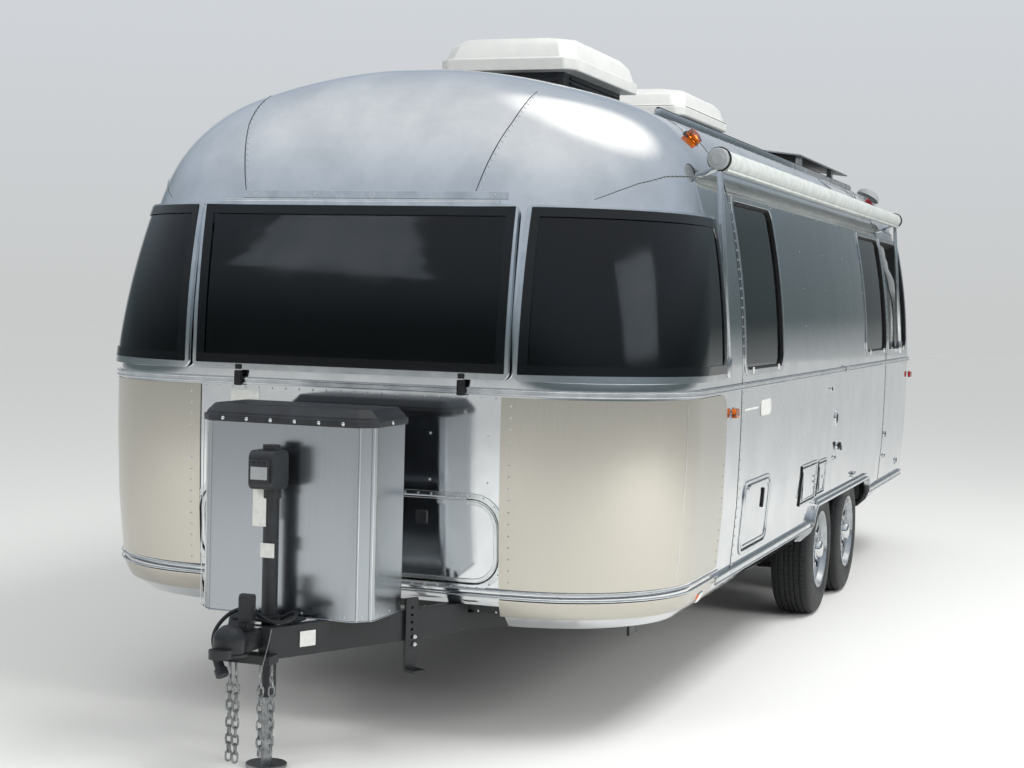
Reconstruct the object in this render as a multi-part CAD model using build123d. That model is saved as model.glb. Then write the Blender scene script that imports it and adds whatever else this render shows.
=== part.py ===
from build123d import *
from math import asin, atan2, cos, pi, sin, sqrt
import os

os.makedirs("parts", exist_ok=True)

# A polished, riveted aluminium travel caravan on two axles, with an A-frame drawbar.
# Millimetres. +X points to the coupler, +Y to the left side, +Z up.
# The origin is on the ground under the middle of the caravan.

# Body shell, driving dimensions
NOSE_X = 3235            # foremost plane of the body, at belt height
TAIL_X = -4015           # rearmost plane of the body, at belt height
HALF_W = 1290            # half the body's width at the belt
BELT_Z = 1385            # belt line, where the walls begin to lean in
ROOF_Z = 2700            # ridge of the roof
SKIRT_Z = 455            # lower edge of the walls
FLOOR_Z = 500            # underside of the floor
FLOOR_T = 55
WALL_T = 45
SIDE_LEAN_R = 3500       # arc of the side wall above the belt
SIDE_TURN_Z = 2200       # where that arc meets the eave arc
EAVE_R = 500
END_LEAN_R = 3200        # arc of the end wall above the belt
END_CROWN_R = 720        # arc from the end wall into the roof
PLAN_RATIO = 0.45        # corner radius in plan over half width, at the belt
PLAN_RATIO_GAIN = 0.25   # what that ratio gains up to the ridge
TUCK = (                 # height, how far the walls are tucked in there
    (445, 118), (455, 107), (505, 53), (560, 30), (850, 8), (1150, 0),
)
TUCK_TOP_Z = TUCK[-1][0]

# Seams between the panels
SEAM_F = 1905            # front end panels to side panels
SEAM_R = -2430           # side panels to rear end panels
EAVE_SEAM_Z = 2330       # side panels to roof panel
MID_X = (NOSE_X + TAIL_X) / 2

# Windows
GLASS_Z = (1450, 2060)   # end windows, low and high edge of the glass
CENTRE_GLASS_Y = 640     # half width of the centre window
CORNER_GLASS_Y = 735     # where a corner window starts, from the centreline
CORNER_GLASS_X = 880     # how far it runs back from the nose
PANE_T = (10, 16)        # depth of a pane's two faces below the skin
GUARD_Z = (1416, 2090)
GUARD_Y = 680            # half width of the centre stone guard
GUARD_SIDE_Y = 700       # where a corner stone guard starts
GUARD_SIDE_X = 915
GUARD_BAR = 36           # width of a guard's frame bar
GUARD_OUT = (5, 24)      # how far a guard's frame stands off the skin
GUARD_PANE = (14, 20)

# Running gear
WHEEL_X = (-412, -1312)
WHEEL_Z = 365
TYRE_R = 365
TRACK_Y = 1140
RIM_R = 205
ARCH_X = (-1905, 5)      # wheel opening, rear and front
ARCH_TOP_Z = 645
WELL_X = (-1905, 115)    # the room round the wheels inside, rear and front
WELL_TOP_Z = 790
WELL_Y = 985
WELL_OUT_Y = 1217        # outer edge of the wheel-well covers, just inside the walls' skin
RAIL_Y = 530
RAIL_Z = (395, 500)
RAIL_W = 50

# Drawbar
TIP_X = 4255
BALL_X = 4150
BALL_SOCKET_R = 29.8     # socket for a 58.7 mm ball
COUPLER_Z = 462
DRAWBAR_Z = (427, 540)   # the A-frame's rails stand a little higher than the long rails
JACK_X = 3855
BUMPER_X = -4255


def save(name, *pieces):
    solids = []
    for piece in pieces:
        solids += list(piece.solids())
    export_step(Compound(children=solids, label=name), "parts/" + name + ".step")


def mirror_y(shape):
    return mirror(shape, Plane.XZ)


def both_sides(shape):
    return [shape, mirror_y(shape)]


def block(x, y, z):
    """A box between two values on each axis."""
    return Pos((x[0] + x[1]) / 2, (y[0] + y[1]) / 2, (z[0] + z[1]) / 2) * Box(
        abs(x[1] - x[0]), abs(y[1] - y[0]), abs(z[1] - z[0]))


def plate_y(x, z, radius, y):
    """A round-cornered plate in the XZ plane, between two values of y."""
    face = RectangleRounded(abs(x[1] - x[0]), abs(z[1] - z[0]), radius)
    middle = ((x[0] + x[1]) / 2, min(y), (z[0] + z[1]) / 2)
    return Plane(origin=middle, x_dir=(1, 0, 0), z_dir=(0, 1, 0)) * extrude(face, abs(y[1] - y[0]))


def plate_x(y, z, radius, x):
    """A round-cornered plate in the YZ plane, between two values of x."""
    face = RectangleRounded(abs(y[1] - y[0]), abs(z[1] - z[0]), radius)
    middle = (min(x), (y[0] + y[1]) / 2, (z[0] + z[1]) / 2)
    return Plane(origin=middle, x_dir=(0, 1, 0), z_dir=(1, 0, 0)) * extrude(face, abs(x[1] - x[0]))


def rod(start, end, radius):
    """A round bar between two points."""
    start, end = Vector(*start), Vector(*end)
    return Plane(origin=start, z_dir=end - start) * extrude(Circle(radius), (end - start).length)


# The body's surface, as one half width and one end position for each height

SIDE_ANGLE = asin((SIDE_TURN_Z - BELT_Z) / SIDE_LEAN_R)
EAVE_Y = HALF_W - SIDE_LEAN_R * (1 - cos(SIDE_ANGLE)) - EAVE_R * cos(SIDE_ANGLE)
EAVE_Z = SIDE_TURN_Z - EAVE_R * sin(SIDE_ANGLE)
EAVE_DROP = ROOF_Z - EAVE_Z
ROOF_R = (EAVE_Y ** 2 + EAVE_DROP ** 2 - EAVE_R ** 2) / (2 * (EAVE_DROP - EAVE_R))
EAVE_ANGLE = atan2(ROOF_R - EAVE_DROP, EAVE_Y)
END_ANGLE = asin((ROOF_Z - END_CROWN_R - BELT_Z) / (END_LEAN_R - END_CROWN_R))
CROWN_IN = END_LEAN_R * (1 - cos(END_ANGLE)) + END_CROWN_R * cos(END_ANGLE)
CROWN_Z = ROOF_Z - END_CROWN_R


def tuck(z):
    """How far the wall is tucked in at a height, in straight steps between the table's heights."""
    for (low, low_in), (high, high_in) in zip(TUCK, TUCK[1:]):
        if z <= high:
            return low_in + (high_in - low_in) * (z - low) / (high - low)
    return 0


def half_width(z, depth=0):
    """Half the body's width at a height, on a surface so far below the skin."""
    if z <= BELT_Z:
        return HALF_W - depth - tuck(z)
    if z <= BELT_Z + (SIDE_LEAN_R - depth) * sin(SIDE_ANGLE):
        return HALF_W - SIDE_LEAN_R + sqrt((SIDE_LEAN_R - depth) ** 2 - (z - BELT_Z) ** 2)
    if z <= EAVE_Z + (EAVE_R - depth) * sin(EAVE_ANGLE):
        return EAVE_Y + sqrt((EAVE_R - depth) ** 2 - (z - EAVE_Z) ** 2)
    return sqrt(max((ROOF_R - depth) ** 2 - (z - ROOF_Z + ROOF_R) ** 2, 0))


def end_in(z, depth=0):
    """How far the end wall is set back from the nose plane at a height."""
    if z <= BELT_Z:
        return depth + tuck(z)
    if z <= BELT_Z + (END_LEAN_R - depth) * sin(END_ANGLE):
        return END_LEAN_R - sqrt((END_LEAN_R - depth) ** 2 - (z - BELT_Z) ** 2)
    return CROWN_IN - sqrt(max((END_CROWN_R - depth) ** 2 - (z - CROWN_Z) ** 2, 0))


def plan_radius(z, depth=0):
    ratio = PLAN_RATIO + PLAN_RATIO_GAIN * max(0, (z - BELT_Z) / (ROOF_Z - BELT_Z))
    return min(ratio * half_width(z) - depth, 0.72 * half_width(z, depth))


def end_outline(z, depth, back_x):
    """The nose end's outline at one height: two lines back, two corner arcs, one front line."""
    w = half_width(z, depth)
    x = NOSE_X - end_in(z, depth)
    r = plan_radius(z, depth)
    k = r * (1 - sqrt(0.5))
    path = [
        Line((back_x, -w), (x - r, -w)),
        ThreePointArc((x - r, -w), (x - k, -w + k), (x, -w + r)),
        Line((x, -w + r), (x, w - r)),
        ThreePointArc((x, w - r), (x - k, w - k), (x - r, w)),
        Line((x - r, w), (back_x, w)),
        Line((back_x, w), (back_x, -w)),
    ]
    return Pos(0, 0, z) * make_face(Wire(path))


def end_block(levels, depth, back_x, ruled=False):
    return loft([end_outline(z, depth, back_x) for z in levels], ruled=ruled)


def low_block(z, depth, back_x):
    """The nose end between two heights below the belt: ruled bands, then an upright one."""
    top = min(z[1], TUCK_TOP_Z)
    levels = [z[0]] + [level for level, _ in TUCK if z[0] < level < top] + [top]
    solid = end_block(levels, depth, back_x, ruled=True)
    if z[1] > TUCK_TOP_Z:
        solid += extrude(end_outline(TUCK_TOP_Z, depth, back_x), z[1] - TUCK_TOP_Z)
    return solid


def low_shell(z, depths, back_x):
    """A stretch of the nose end's lower wall between two depths."""
    return low_block(z, depths[0], back_x) - low_block((z[0] - 5, z[1] + 5), depths[1], back_x - 5)


def upright_ring(z, depths, level):
    """A band round the whole body, upright, drawn on the outline of one height."""
    rings = []
    for depth in depths:
        face = Pos(0, 0, z[0] - level) * end_outline(level, depth, MID_X)
        rings.append(extrude(face, z[1] - z[0]))
    nose = rings[0] - rings[1]
    return nose + mirror_end(nose)


# Heights of the sections that the upper end panels are drawn through
HIGH_LEVELS = (BELT_Z, 1600, 1800, 2000, SIDE_TURN_Z, 2330, 2440, 2530, 2600, 2650, 2680, 2694, 2699)
INNER_LEVELS = (BELT_Z - 10, 1600, 1800, 2000, 2180, 2300, 2400, 2485, 2555, 2605, 2635, 2649, 2654)


def skin_arcs(z_low, z_high, depth):
    """The left wall's profile in the YZ plane, as arcs from low to high."""
    turn = BELT_Z + (SIDE_LEAN_R - depth) * sin(SIDE_ANGLE)
    eave = EAVE_Z + (EAVE_R - depth) * sin(EAVE_ANGLE)
    breaks = [level for level, _ in TUCK] + [BELT_Z, turn, eave]
    stops = [z for z in breaks if z_low + 1 < z < z_high - 1]
    stops = [z_low] + stops + [z_high]
    edges = []
    for low, high in zip(stops, stops[1:]):
        mid = (low + high) / 2
        ends = [(half_width(z, depth), z) for z in (low, mid, high)]
        straight = abs((ends[0][0] + ends[2][0]) / 2 - ends[1][0]) < 0.02
        edges.append(Line(ends[0], ends[2]) if straight else ThreePointArc(*ends))
    return edges


def wall_strip(x, z, depths):
    """A stretch of the left wall between two depths below the skin."""
    outer = skin_arcs(z[0], z[1], depths[0])
    inner = skin_arcs(z[0], z[1], depths[1])
    ends = []
    for level in z:
        ends.append(Line((half_width(level, depths[0]), level), (half_width(level, depths[1]), level)))
    face = make_face(Wire(outer + inner + ends))
    plane = Plane(origin=(min(x), 0, 0), x_dir=(0, 1, 0), z_dir=(1, 0, 0))
    return plane * extrude(face, abs(x[1] - x[0]))


def roof_strip(x, depths):
    """The roof between the two eave seams, between two depths below the skin."""
    rings = []
    for depth in depths:
        w = half_width(EAVE_SEAM_Z, depth)
        eave = EAVE_Z + (EAVE_R - depth) * sin(EAVE_ANGLE)
        mid = (EAVE_SEAM_Z + eave) / 2
        a, b, c = [(half_width(z, depth), z) for z in (EAVE_SEAM_Z, mid, eave)]
        top = (0, ROOF_Z - depth)
        left = [(-p[0], p[1]) for p in (a, b, c)]
        crown = ThreePointArc(c, top, left[2])
        rings.append([ThreePointArc(a, b, c), crown, ThreePointArc(left[2], left[1], left[0])])
    ends = [Line((s * half_width(EAVE_SEAM_Z, depths[0]), EAVE_SEAM_Z),
                 (s * half_width(EAVE_SEAM_Z, depths[1]), EAVE_SEAM_Z)) for s in (1, -1)]
    face = make_face(Wire(rings[0] + rings[1] + ends))
    plane = Plane(origin=(min(x), 0, 0), x_dir=(0, 1, 0), z_dir=(1, 0, 0))
    return plane * extrude(face, abs(x[1] - x[0]))


def end_shell(z, depths, back_x):
    """A thin stretch of the nose end between two depths, below the eaves."""
    steps = [z[0] + (z[1] - z[0]) * i / 3 for i in range(4)]
    outer = end_block(steps, depths[0], back_x)
    longer = [z[0] - 5] + steps[1:3] + [z[1] + 5]
    return outer - end_block(longer, depths[1], back_x - 5)


# End panels: lower walls, upper caps, glass and stone guards

def mirror_end(shape):
    """The nose's shape turned round to the tail."""
    return mirror(shape, Plane(origin=(MID_X, 0, 0), z_dir=(1, 0, 0)))


def tail_x(x):
    return 2 * MID_X - x


def end_zones(y_centre, y_corner, x_corner, z, radius):
    """The see-through zones of an end: one in the centre and one round each corner."""
    centre = plate_x((-y_centre, y_centre), z, radius, (NOSE_X - 260, NOSE_X + 60))
    corner = plate_x((y_corner, HALF_W + 300), z, radius, (NOSE_X - 500, NOSE_X + 60))
    corner += plate_y((NOSE_X - x_corner, NOSE_X + 300), z, radius, (HALF_W - 560, HALF_W + 60))
    return centre, corner


def end_cap(seam, with_corners):
    """An upper end panel, with its centre window cut, and its corner windows too if it has them."""
    shell = end_block(HIGH_LEVELS, 0, seam) - end_block(INNER_LEVELS, WALL_T, seam - 10)
    centre, corner = end_zones(CENTRE_GLASS_Y, CORNER_GLASS_Y, CORNER_GLASS_X, GLASS_Z, 60)
    return shell - centre - corner - mirror_y(corner) if with_corners else shell - centre


def end_glass():
    shell = end_shell((GLASS_Z[0] - 1, GLASS_Z[1] + 1), PANE_T, NOSE_X - CORNER_GLASS_X - 40)
    centre, corner = end_zones(CENTRE_GLASS_Y, CORNER_GLASS_Y, CORNER_GLASS_X, GLASS_Z, 60)
    return [shell & corner, shell & mirror_y(corner)]


def end_strip(half_y, z, depths):
    """A piece of the nose's middle, above the belt, a little larger than asked, between two depths."""
    z = (z[0] - 8, z[1] + 8)
    arcs = []
    for depth in depths:
        ends = [(NOSE_X - end_in(level, depth), level) for level in (z[0], (z[0] + z[1]) / 2, z[1])]
        arcs.append(ThreePointArc(*ends))
    ends = []
    for level in z:
        outer, inner = [NOSE_X - end_in(level, depth) for depth in depths]
        ends.append(Line((outer, level), (inner, level)))
    face = make_face(Wire(arcs + ends))
    plane = Plane(origin=(0, half_y + 8, 0), x_dir=(1, 0, 0), z_dir=(0, -1, 0))
    return plane * extrude(face, 2 * half_y + 16)


front_cap = end_cap(SEAM_F, True)
rear_cap = mirror_end(end_cap(tail_x(SEAM_R), False))
LOW_Z = (SKIRT_Z, BELT_Z)
low_front = low_shell(LOW_Z, (0, WALL_T), SEAM_F)
low_rear = mirror_end(low_shell(LOW_Z, (0, WALL_T), tail_x(SEAM_R)))
corner_glass = end_glass()
centre_zone = plate_x((-CENTRE_GLASS_Y, CENTRE_GLASS_Y), GLASS_Z, 60, (NOSE_X - 260, NOSE_X + 60))
nose_pane = end_strip(CENTRE_GLASS_Y, GLASS_Z, PANE_T) & centre_zone

guard_shell = end_shell(GUARD_Z, (-GUARD_OUT[1], -GUARD_OUT[0]), NOSE_X - GUARD_SIDE_X - 20)
pane_shell = end_shell(GUARD_Z, (-GUARD_PANE[1], -GUARD_PANE[0]), NOSE_X - GUARD_SIDE_X - 20)


def guard_zone(inset):
    z = (GUARD_Z[0] + inset, GUARD_Z[1] - inset)
    return plate_x((-GUARD_Y + inset, GUARD_Y - inset), z, 30, (NOSE_X - 300, NOSE_X + 80))


def corner_zone(inset):
    z = (GUARD_Z[0] + inset, GUARD_Z[1] - inset)
    face = plate_x((GUARD_SIDE_Y + inset, HALF_W + 300), z, 30, (NOSE_X - 560, NOSE_X + 80))
    flank = plate_y((NOSE_X - GUARD_SIDE_X + inset, NOSE_X + 300), z, 60, (HALF_W - 560, HALF_W + 80))
    return face + flank


guard_bars = end_strip(GUARD_Y, GUARD_Z, (-GUARD_OUT[1], -GUARD_OUT[0]))
guard_sheet = end_strip(GUARD_Y, GUARD_Z, (-GUARD_PANE[1], -GUARD_PANE[0]))
PANE_LAP = 4             # how far a guard's pane runs in behind its frame bars
front_guard = guard_bars & (guard_zone(0) - guard_zone(GUARD_BAR))
front_guard += guard_sheet & guard_zone(GUARD_BAR - PANE_LAP)
GUARD_AXIS_Z = GUARD_Z[1] + 8
GUARD_AXIS_X = NOSE_X - end_in(GUARD_AXIS_Z, -20)
GUARD_ROD_Y = (-600, 600)
GUARD_ROD_R = 6
guard_rod = [(GUARD_AXIS_X, y, GUARD_AXIS_Z) for y in GUARD_ROD_Y]
front_guard += rod(*guard_rod, GUARD_ROD_R)
front_guard += block((GUARD_AXIS_X - 5, GUARD_AXIS_X + 5), GUARD_ROD_Y, (GUARD_Z[1] - 12, GUARD_AXIS_Z))
corner_guard = guard_shell & (corner_zone(0) - corner_zone(GUARD_BAR))
corner_guard += pane_shell & corner_zone(GUARD_BAR - PANE_LAP)

# Front storage hatch, in the lower front wall
HATCH_Y = 650
HATCH_Z = (620, 955)
HATCH_GAP = 6
HATCH_R = 110            # corner radius of its opening
HATCH_T = 22
HATCH_DEEP = (NOSE_X - 160, NOSE_X + 40)
hatch_hole = plate_x((-HATCH_Y, HATCH_Y), HATCH_Z, HATCH_R, HATCH_DEEP)
hatch_y = (-HATCH_Y + HATCH_GAP, HATCH_Y - HATCH_GAP)
hatch_z = (HATCH_Z[0] + HATCH_GAP, HATCH_Z[1] - HATCH_GAP)
hatch_zone = plate_x(hatch_y, hatch_z, HATCH_R - HATCH_GAP, HATCH_DEEP)
hatch_level = (HATCH_Z[0] - 20, HATCH_Z[1] + 20)
front_hatch = low_shell(hatch_level, (0, HATCH_T), SEAM_F) & hatch_zone
NOSE_FOOT_Y = 664        # the nose's foot is left open between the corner shields, for the drawbar
NOSE_FOOT_Z = 540
nose_foot = block((NOSE_X - 260, NOSE_X + 40), (-NOSE_FOOT_Y, NOSE_FOOT_Y), (SKIRT_Z - 5, NOSE_FOOT_Z))
front_wall = low_front - hatch_hole - nose_foot
HATCH_AXIS = (NOSE_X + 7, HATCH_Z[1] - 2)     # x and z of its hinge rod
HATCH_ROD_Y = (-520, 520)
hatch_rod = [(HATCH_AXIS[0], y, HATCH_AXIS[1]) for y in HATCH_ROD_Y]
front_hatch += rod(*hatch_rod, 6)
front_hatch += block((NOSE_X - 15, HATCH_AXIS[0] - 1), HATCH_ROD_Y, (HATCH_Z[1] - 25, HATCH_Z[1] - 7))

# The drawbar rails pass under the front wall's lower edge through two notches
APEX_X = 4010
APEX_Y = 62              # middle of each rail at the apex
DRAWBAR_START = (2400, 860)


def drawbar_rail(grow=0):
    """The left rail of the A-frame, from under the floor to the coupler's end."""
    z = (DRAWBAR_Z[0] - grow, DRAWBAR_Z[1] + grow)
    start, start_half = DRAWBAR_START, 32 + grow
    end, end_half = (APEX_X, APEX_Y), 22 + grow
    face = make_face(Polyline((start[0], start[1] - start_half), (end[0], end[1] - end_half),
                              (end[0], end[1] + end_half), (start[0], start[1] + start_half), close=True))
    return Pos(0, 0, z[0]) * extrude(face, z[1] - z[0])


for notch in both_sides(drawbar_rail(4)):
    front_wall -= notch
for notch in both_sides(block((-4000, -3700), (RAIL_Y - 30, RAIL_Y + 30), (SKIRT_Z - 40, RAIL_Z[1] + 5))):
    low_rear -= notch

# Side walls, with the wheel openings, windows, hatches and the entry door
ARCH_R = 90
WELL_SKIN = 9            # thickness of the walls where the wheels stand behind them
SIDE_WINDOWS = (         # rear x, front x, low z, high z
    (1045, 1885, 1435, 2190),
    (-2395, -1545, 1450, 2180),
)
TAIL_WINDOW = (-3335, -2465, 1450, 2180)
SIDE_HATCH = (1235, 1785, 622, 917)
SERVICE_DOORS = ((-5, 405, 700, 890), (-285, -65, 710, 880))
DOOR = (360, 1030, 556, 2235)
DOOR_GAP = 6
DOOR_WINDOW = (440, 950, 1420, 2080)


def opening(span, inset=0, radius=60, y=(HALF_W - 420, HALF_W + 60)):
    """A round-cornered zone through the left wall, from (rear x, front x, low z, high z)."""
    return plate_y((span[0] + inset, span[1] - inset), (span[2] + inset, span[3] - inset), radius, y)


def arch_outline(grow):
    """The wheel opening's zone through the left wall, grown outwards."""
    span = (ARCH_X[0] - grow, ARCH_X[1] + grow)
    return plate_y(span, (SKIRT_Z - 300, ARCH_TOP_Z + grow), ARCH_R + grow, (HALF_W - 560, HALF_W + 60))


arch_zone = arch_outline(0)
well_span = (WELL_X[0] - 20, WELL_X[1] + 20)
well_relief = wall_strip(well_span, (SKIRT_Z - 2, WELL_TOP_Z + 2), (WELL_SKIN, 80))
plain_wall = wall_strip((SEAM_R, SEAM_F), (SKIRT_Z, EAVE_SEAM_Z), (0, WALL_T)) - arch_zone - well_relief
for span in SIDE_WINDOWS:
    plain_wall -= opening(span)
wall_left = plain_wall - opening(SIDE_HATCH, 0, 50)
for span in SERVICE_DOORS:
    wall_left -= opening(span, 0, 20)
wall_right = mirror_y(plain_wall - opening(DOOR, 0, 80))


def panel(span, depths, inset=0, radius=60):
    """A round-cornered piece of the left wall, from (rear x, front x, low z, high z)."""
    strip = wall_strip((span[0] - 8, span[1] + 8), (span[2] - 8, span[3] + 8), depths)
    return strip & opening(span, inset, radius)


side_glass = [panel(span, PANE_T) for span in SIDE_WINDOWS]
tail_pane = panel(TAIL_WINDOW, PANE_T)

for side in both_sides(opening(TAIL_WINDOW)):
    rear_cap -= side

SIDE_AXIS = (HALF_W + 4, SIDE_HATCH[3] - 2)   # y and z of the side hatch's hinge rod
side_hatch = panel(SIDE_HATCH, (0, 30), HATCH_GAP, 44)
side_rod_x = (SIDE_HATCH[0] + 70, SIDE_HATCH[1] - 70)
side_hatch += rod((side_rod_x[0], *SIDE_AXIS), (side_rod_x[1], *SIDE_AXIS), 5)
side_hatch += block(side_rod_x, (HALF_W - 16, SIDE_AXIS[0] - 1), (SIDE_AXIS[1] - 20, SIDE_AXIS[1] - 4))
SERVICE_AXIS_Y = HALF_W + 2


def service_door(span):
    """A small door with an upright hinge rod along its front edge."""
    door = panel(span, (0, 12), HATCH_GAP, 16)
    axis_x, low, high = span[1] - 2, span[2] + 25, span[3] - 25
    door += rod((axis_x, SERVICE_AXIS_Y, low), (axis_x, SERVICE_AXIS_Y, high), 4)
    return door + block((axis_x - 18, axis_x - 1), (HALF_W - 18, SERVICE_AXIS_Y - 1), (low, high))


service_doors = [service_door(span) for span in SERVICE_DOORS]

door = panel(DOOR, (0, WALL_T), DOOR_GAP, 74) - opening(DOOR_WINDOW)
door_pane = panel(DOOR_WINDOW, PANE_T)
DOOR_AXIS = (DOOR[1], -(HALF_W + 13))
HINGE_Z = (720, 1040, 1340)
for z in HINGE_Z:
    knuckle = rod((DOOR_AXIS[0], -DOOR_AXIS[1], z - 35), (DOOR_AXIS[0], -DOOR_AXIS[1], z + 35), 7)
    leaf = block((DOOR_AXIS[0] - 60, DOOR_AXIS[0]), (HALF_W - 20, HALF_W + 16), (z - 30, z + 30))
    leaf -= wall_strip((DOOR[0], DOOR[1] + 40), (z - 40, z + 40), (0, 60))
    leaf &= block((DOOR_AXIS[0] - 60, DOOR_AXIS[0]), (HALF_W - 20, HALF_W + 13), (z - 30, z + 30))
    door += knuckle + leaf
door = mirror_y(door)
door_pane = mirror_y(door_pane)

roof = roof_strip((SEAM_R, SEAM_F), (0, WALL_T))
SEAT_GAP = 2             # what stands on the roof is cut this far above it
roof_form = Pos(MID_X, 0, ROOF_Z - ROOF_R) * Rot(0, 90, 0) * Cylinder(ROOF_R + SEAT_GAP, 8000)

# Floor, wheel wells
nose_floor = low_block((FLOOR_Z, FLOOR_Z + FLOOR_T), WALL_T + 0.3, MID_X)
floor_pan = nose_floor + mirror_end(nose_floor)
well_zone = block(well_span, (WELL_Y, HALF_W), (SKIRT_Z, WELL_TOP_Z))
for zone in both_sides(well_zone):
    floor_pan -= zone
WELL_T = 6
well_cover = block(well_span, (WELL_Y, WELL_OUT_Y), (FLOOR_Z, WELL_TOP_Z))
well_cover -= block((well_span[0] + WELL_T, well_span[1] - WELL_T), (WELL_Y + WELL_T, HALF_W),
                    (SKIRT_Z, WELL_TOP_Z - WELL_T))

# Chassis: two long rails, cross members, the A-frame and the gas bottle tray
long_rail = block((-3890, 2560), (RAIL_Y - RAIL_W / 2, RAIL_Y + RAIL_W / 2), RAIL_Z)
chassis = []


def weld(member):
    """Add a member to the chassis, cut back to the ones that are already there."""
    fresh = member - chassis if chassis else member
    chassis.extend(fresh.solids())


weld(long_rail)
weld(mirror_y(long_rail))
CROSS_X = (-3750, -2700, -1900, 300, 1250, 2500)
for x in CROSS_X:
    reach = 880 if x in (CROSS_X[0], CROSS_X[-1]) else RAIL_Y
    weld(block((x - 25, x + 25), (-reach, reach), (RAIL_Z[0] + 30, RAIL_Z[1])))
under_floor = block((DRAWBAR_START[0] - 50, NOSE_X - 70), (-1000, 1000), (FLOOR_Z, DRAWBAR_Z[1] + 20))
JACK_R = 29
jack_hole = rod((JACK_X, 0, 300), (JACK_X, 0, 600), JACK_R + 1)
for rail in both_sides(drawbar_rail()):
    weld(rail - under_floor - jack_hole)
JACK_PLATE_Z = (DRAWBAR_Z[1], DRAWBAR_Z[1] + 10)
weld(block((JACK_X - 60, JACK_X + 60), (-120, 120), JACK_PLATE_Z) - jack_hole)
CHAIN_PLATE_X = (3985, 4056)     # carries the safety chains
CHAIN_PLATE_Y = (-96, 108)
weld(block(CHAIN_PLATE_X, CHAIN_PLATE_Y, (DRAWBAR_Z[0] - 10, DRAWBAR_Z[0] + 20)))

# Coupler: a channel between the rails, the hood over the ball, its lip, and the raised latch
HOOD_R = 57
LIP_R = 66
HOOD_Z = COUPLER_Z + 50      # where the hood's side turns into its dome
coupler = block((JACK_X + 42, BALL_X), (-50, 50), (COUPLER_Z + 6, COUPLER_Z + 66))
coupler += rod((BALL_X, 0, COUPLER_Z), (BALL_X, 0, HOOD_Z), HOOD_R)
coupler += Pos(BALL_X, 0, HOOD_Z) * Sphere(HOOD_R)
coupler += rod((BALL_X, 0, COUPLER_Z), (BALL_X, 0, COUPLER_Z + 9), LIP_R)
coupler += rod((TIP_X - 40, 0, COUPLER_Z), (TIP_X - 40, 0, COUPLER_Z + 30), 40)
coupler += block((BALL_X, TIP_X - 40), (-40, 40), (COUPLER_Z, COUPLER_Z + 30))
coupler -= rod((BALL_X, 0, COUPLER_Z - 20), (BALL_X, 0, COUPLER_Z + 20), BALL_SOCKET_R)
coupler -= Pos(BALL_X, 0, COUPLER_Z + 20) * Sphere(BALL_SOCKET_R)
coupler += block((BALL_X - 150, BALL_X - 95), (-18, 18), (COUPLER_Z + 60, COUPLER_Z + 96))
LATCH_TOP_Z = 658
coupler += plate_y((BALL_X - 150, BALL_X - 108), (COUPLER_Z + 86, LATCH_TOP_Z), 14, (-26, 21))
coupler -= chassis

# Tongue jack: outer tube, motor head, and the leg that slides in it
JACK_TOP_Z = 1020
jack = rod((JACK_X, 0, 260), (JACK_X, 0, JACK_TOP_Z), JACK_R)
jack -= rod((JACK_X, 0, 250), (JACK_X, 0, 960), JACK_R - 3.5)
jack += plate_y((JACK_X - 34, JACK_X + 90), (JACK_TOP_Z, 1160), 28, (-49, 49))
jack += rod((JACK_X + 8, 0, 1150), (JACK_X + 8, 0, 1178), 32)
jack += block((JACK_X + 84, JACK_X + 97), (-43, 38), (1046, 1130))
jack_leg = rod((JACK_X, 0, 14), (JACK_X, 0, 780), JACK_R - 8)
jack_leg += rod((JACK_X, 0, 0), (JACK_X, 0, 14), 75)

# Gas bottle cover and its lid
COVER_Y = 351
COVER_Z = (DRAWBAR_Z[1], 1247)
COVER_X = (3430, 3775)
COVER_CUT = 57           # how far its front corners are cut off


def cover_outline(grow):
    front, back = COVER_X[1] + grow, COVER_X[0] - grow
    side = COVER_Y + grow
    cut = COVER_CUT
    return Polyline((back, -side), (front - cut, -side), (front, -side + cut), (front, side - cut),
                    (front - cut, side), (back, side), close=True)


def cover_slab(grow, z, round_r):
    face = make_face(cover_outline(grow))
    solid = Pos(0, 0, z[0]) * extrude(face, z[1] - z[0])
    return fillet(solid.edges().filter_by(Axis.Z), round_r)


cover = cover_slab(0, COVER_Z, 42) - cover_slab(-4, (COVER_Z[0] - 5, COVER_Z[1] + 5), 38)
LID_RIM = 26
LID_HIGH = 64
lid_rim = cover_slab(9, (COVER_Z[1], COVER_Z[1] + LID_RIM), 46)
lid_top = cover_slab(1, (COVER_Z[1] + LID_RIM, COVER_Z[1] + LID_HIGH), 44)
lid_top = chamfer(lid_top.faces().sort_by(Axis.Z)[-1].edges(), 30)
cover_lid = lid_rim + lid_top

# The bottle tray lies on the A-frame, inside the cover
weld(cover_slab(-8, (DRAWBAR_Z[1], DRAWBAR_Z[1] + 8), 34))

# Wheels: each tyre is a ring of flat facets that stands on one of them, each rim a dished alloy wheel
TYRE_SIDES = 36
TYRE_BANDS = ((262, 112), (335, 106), (TYRE_R, 80))     # radius, distance from the tyre's middle plane
BEAD_BANDS = ((262, 112.5), (RIM_R + 2, 95))


def facet_ring(bands):
    """A many-sided drum about the Y axis, through (radius, y) bands given for its left half."""
    turn = 180 / TYRE_SIDES
    grow = 1 / cos(pi / TYRE_SIDES)
    faces = []
    for radius, y in [(r, -d) for r, d in bands] + [(r, d) for r, d in reversed(bands)]:
        face = Rot(0, 0, turn) * RegularPolygon(radius * grow, TYRE_SIDES)
        faces.append(Plane(origin=(0, y, 0), x_dir=(1, 0, 0), z_dir=(0, 1, 0)) * face)
    return loft(faces, ruled=True)


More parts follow.
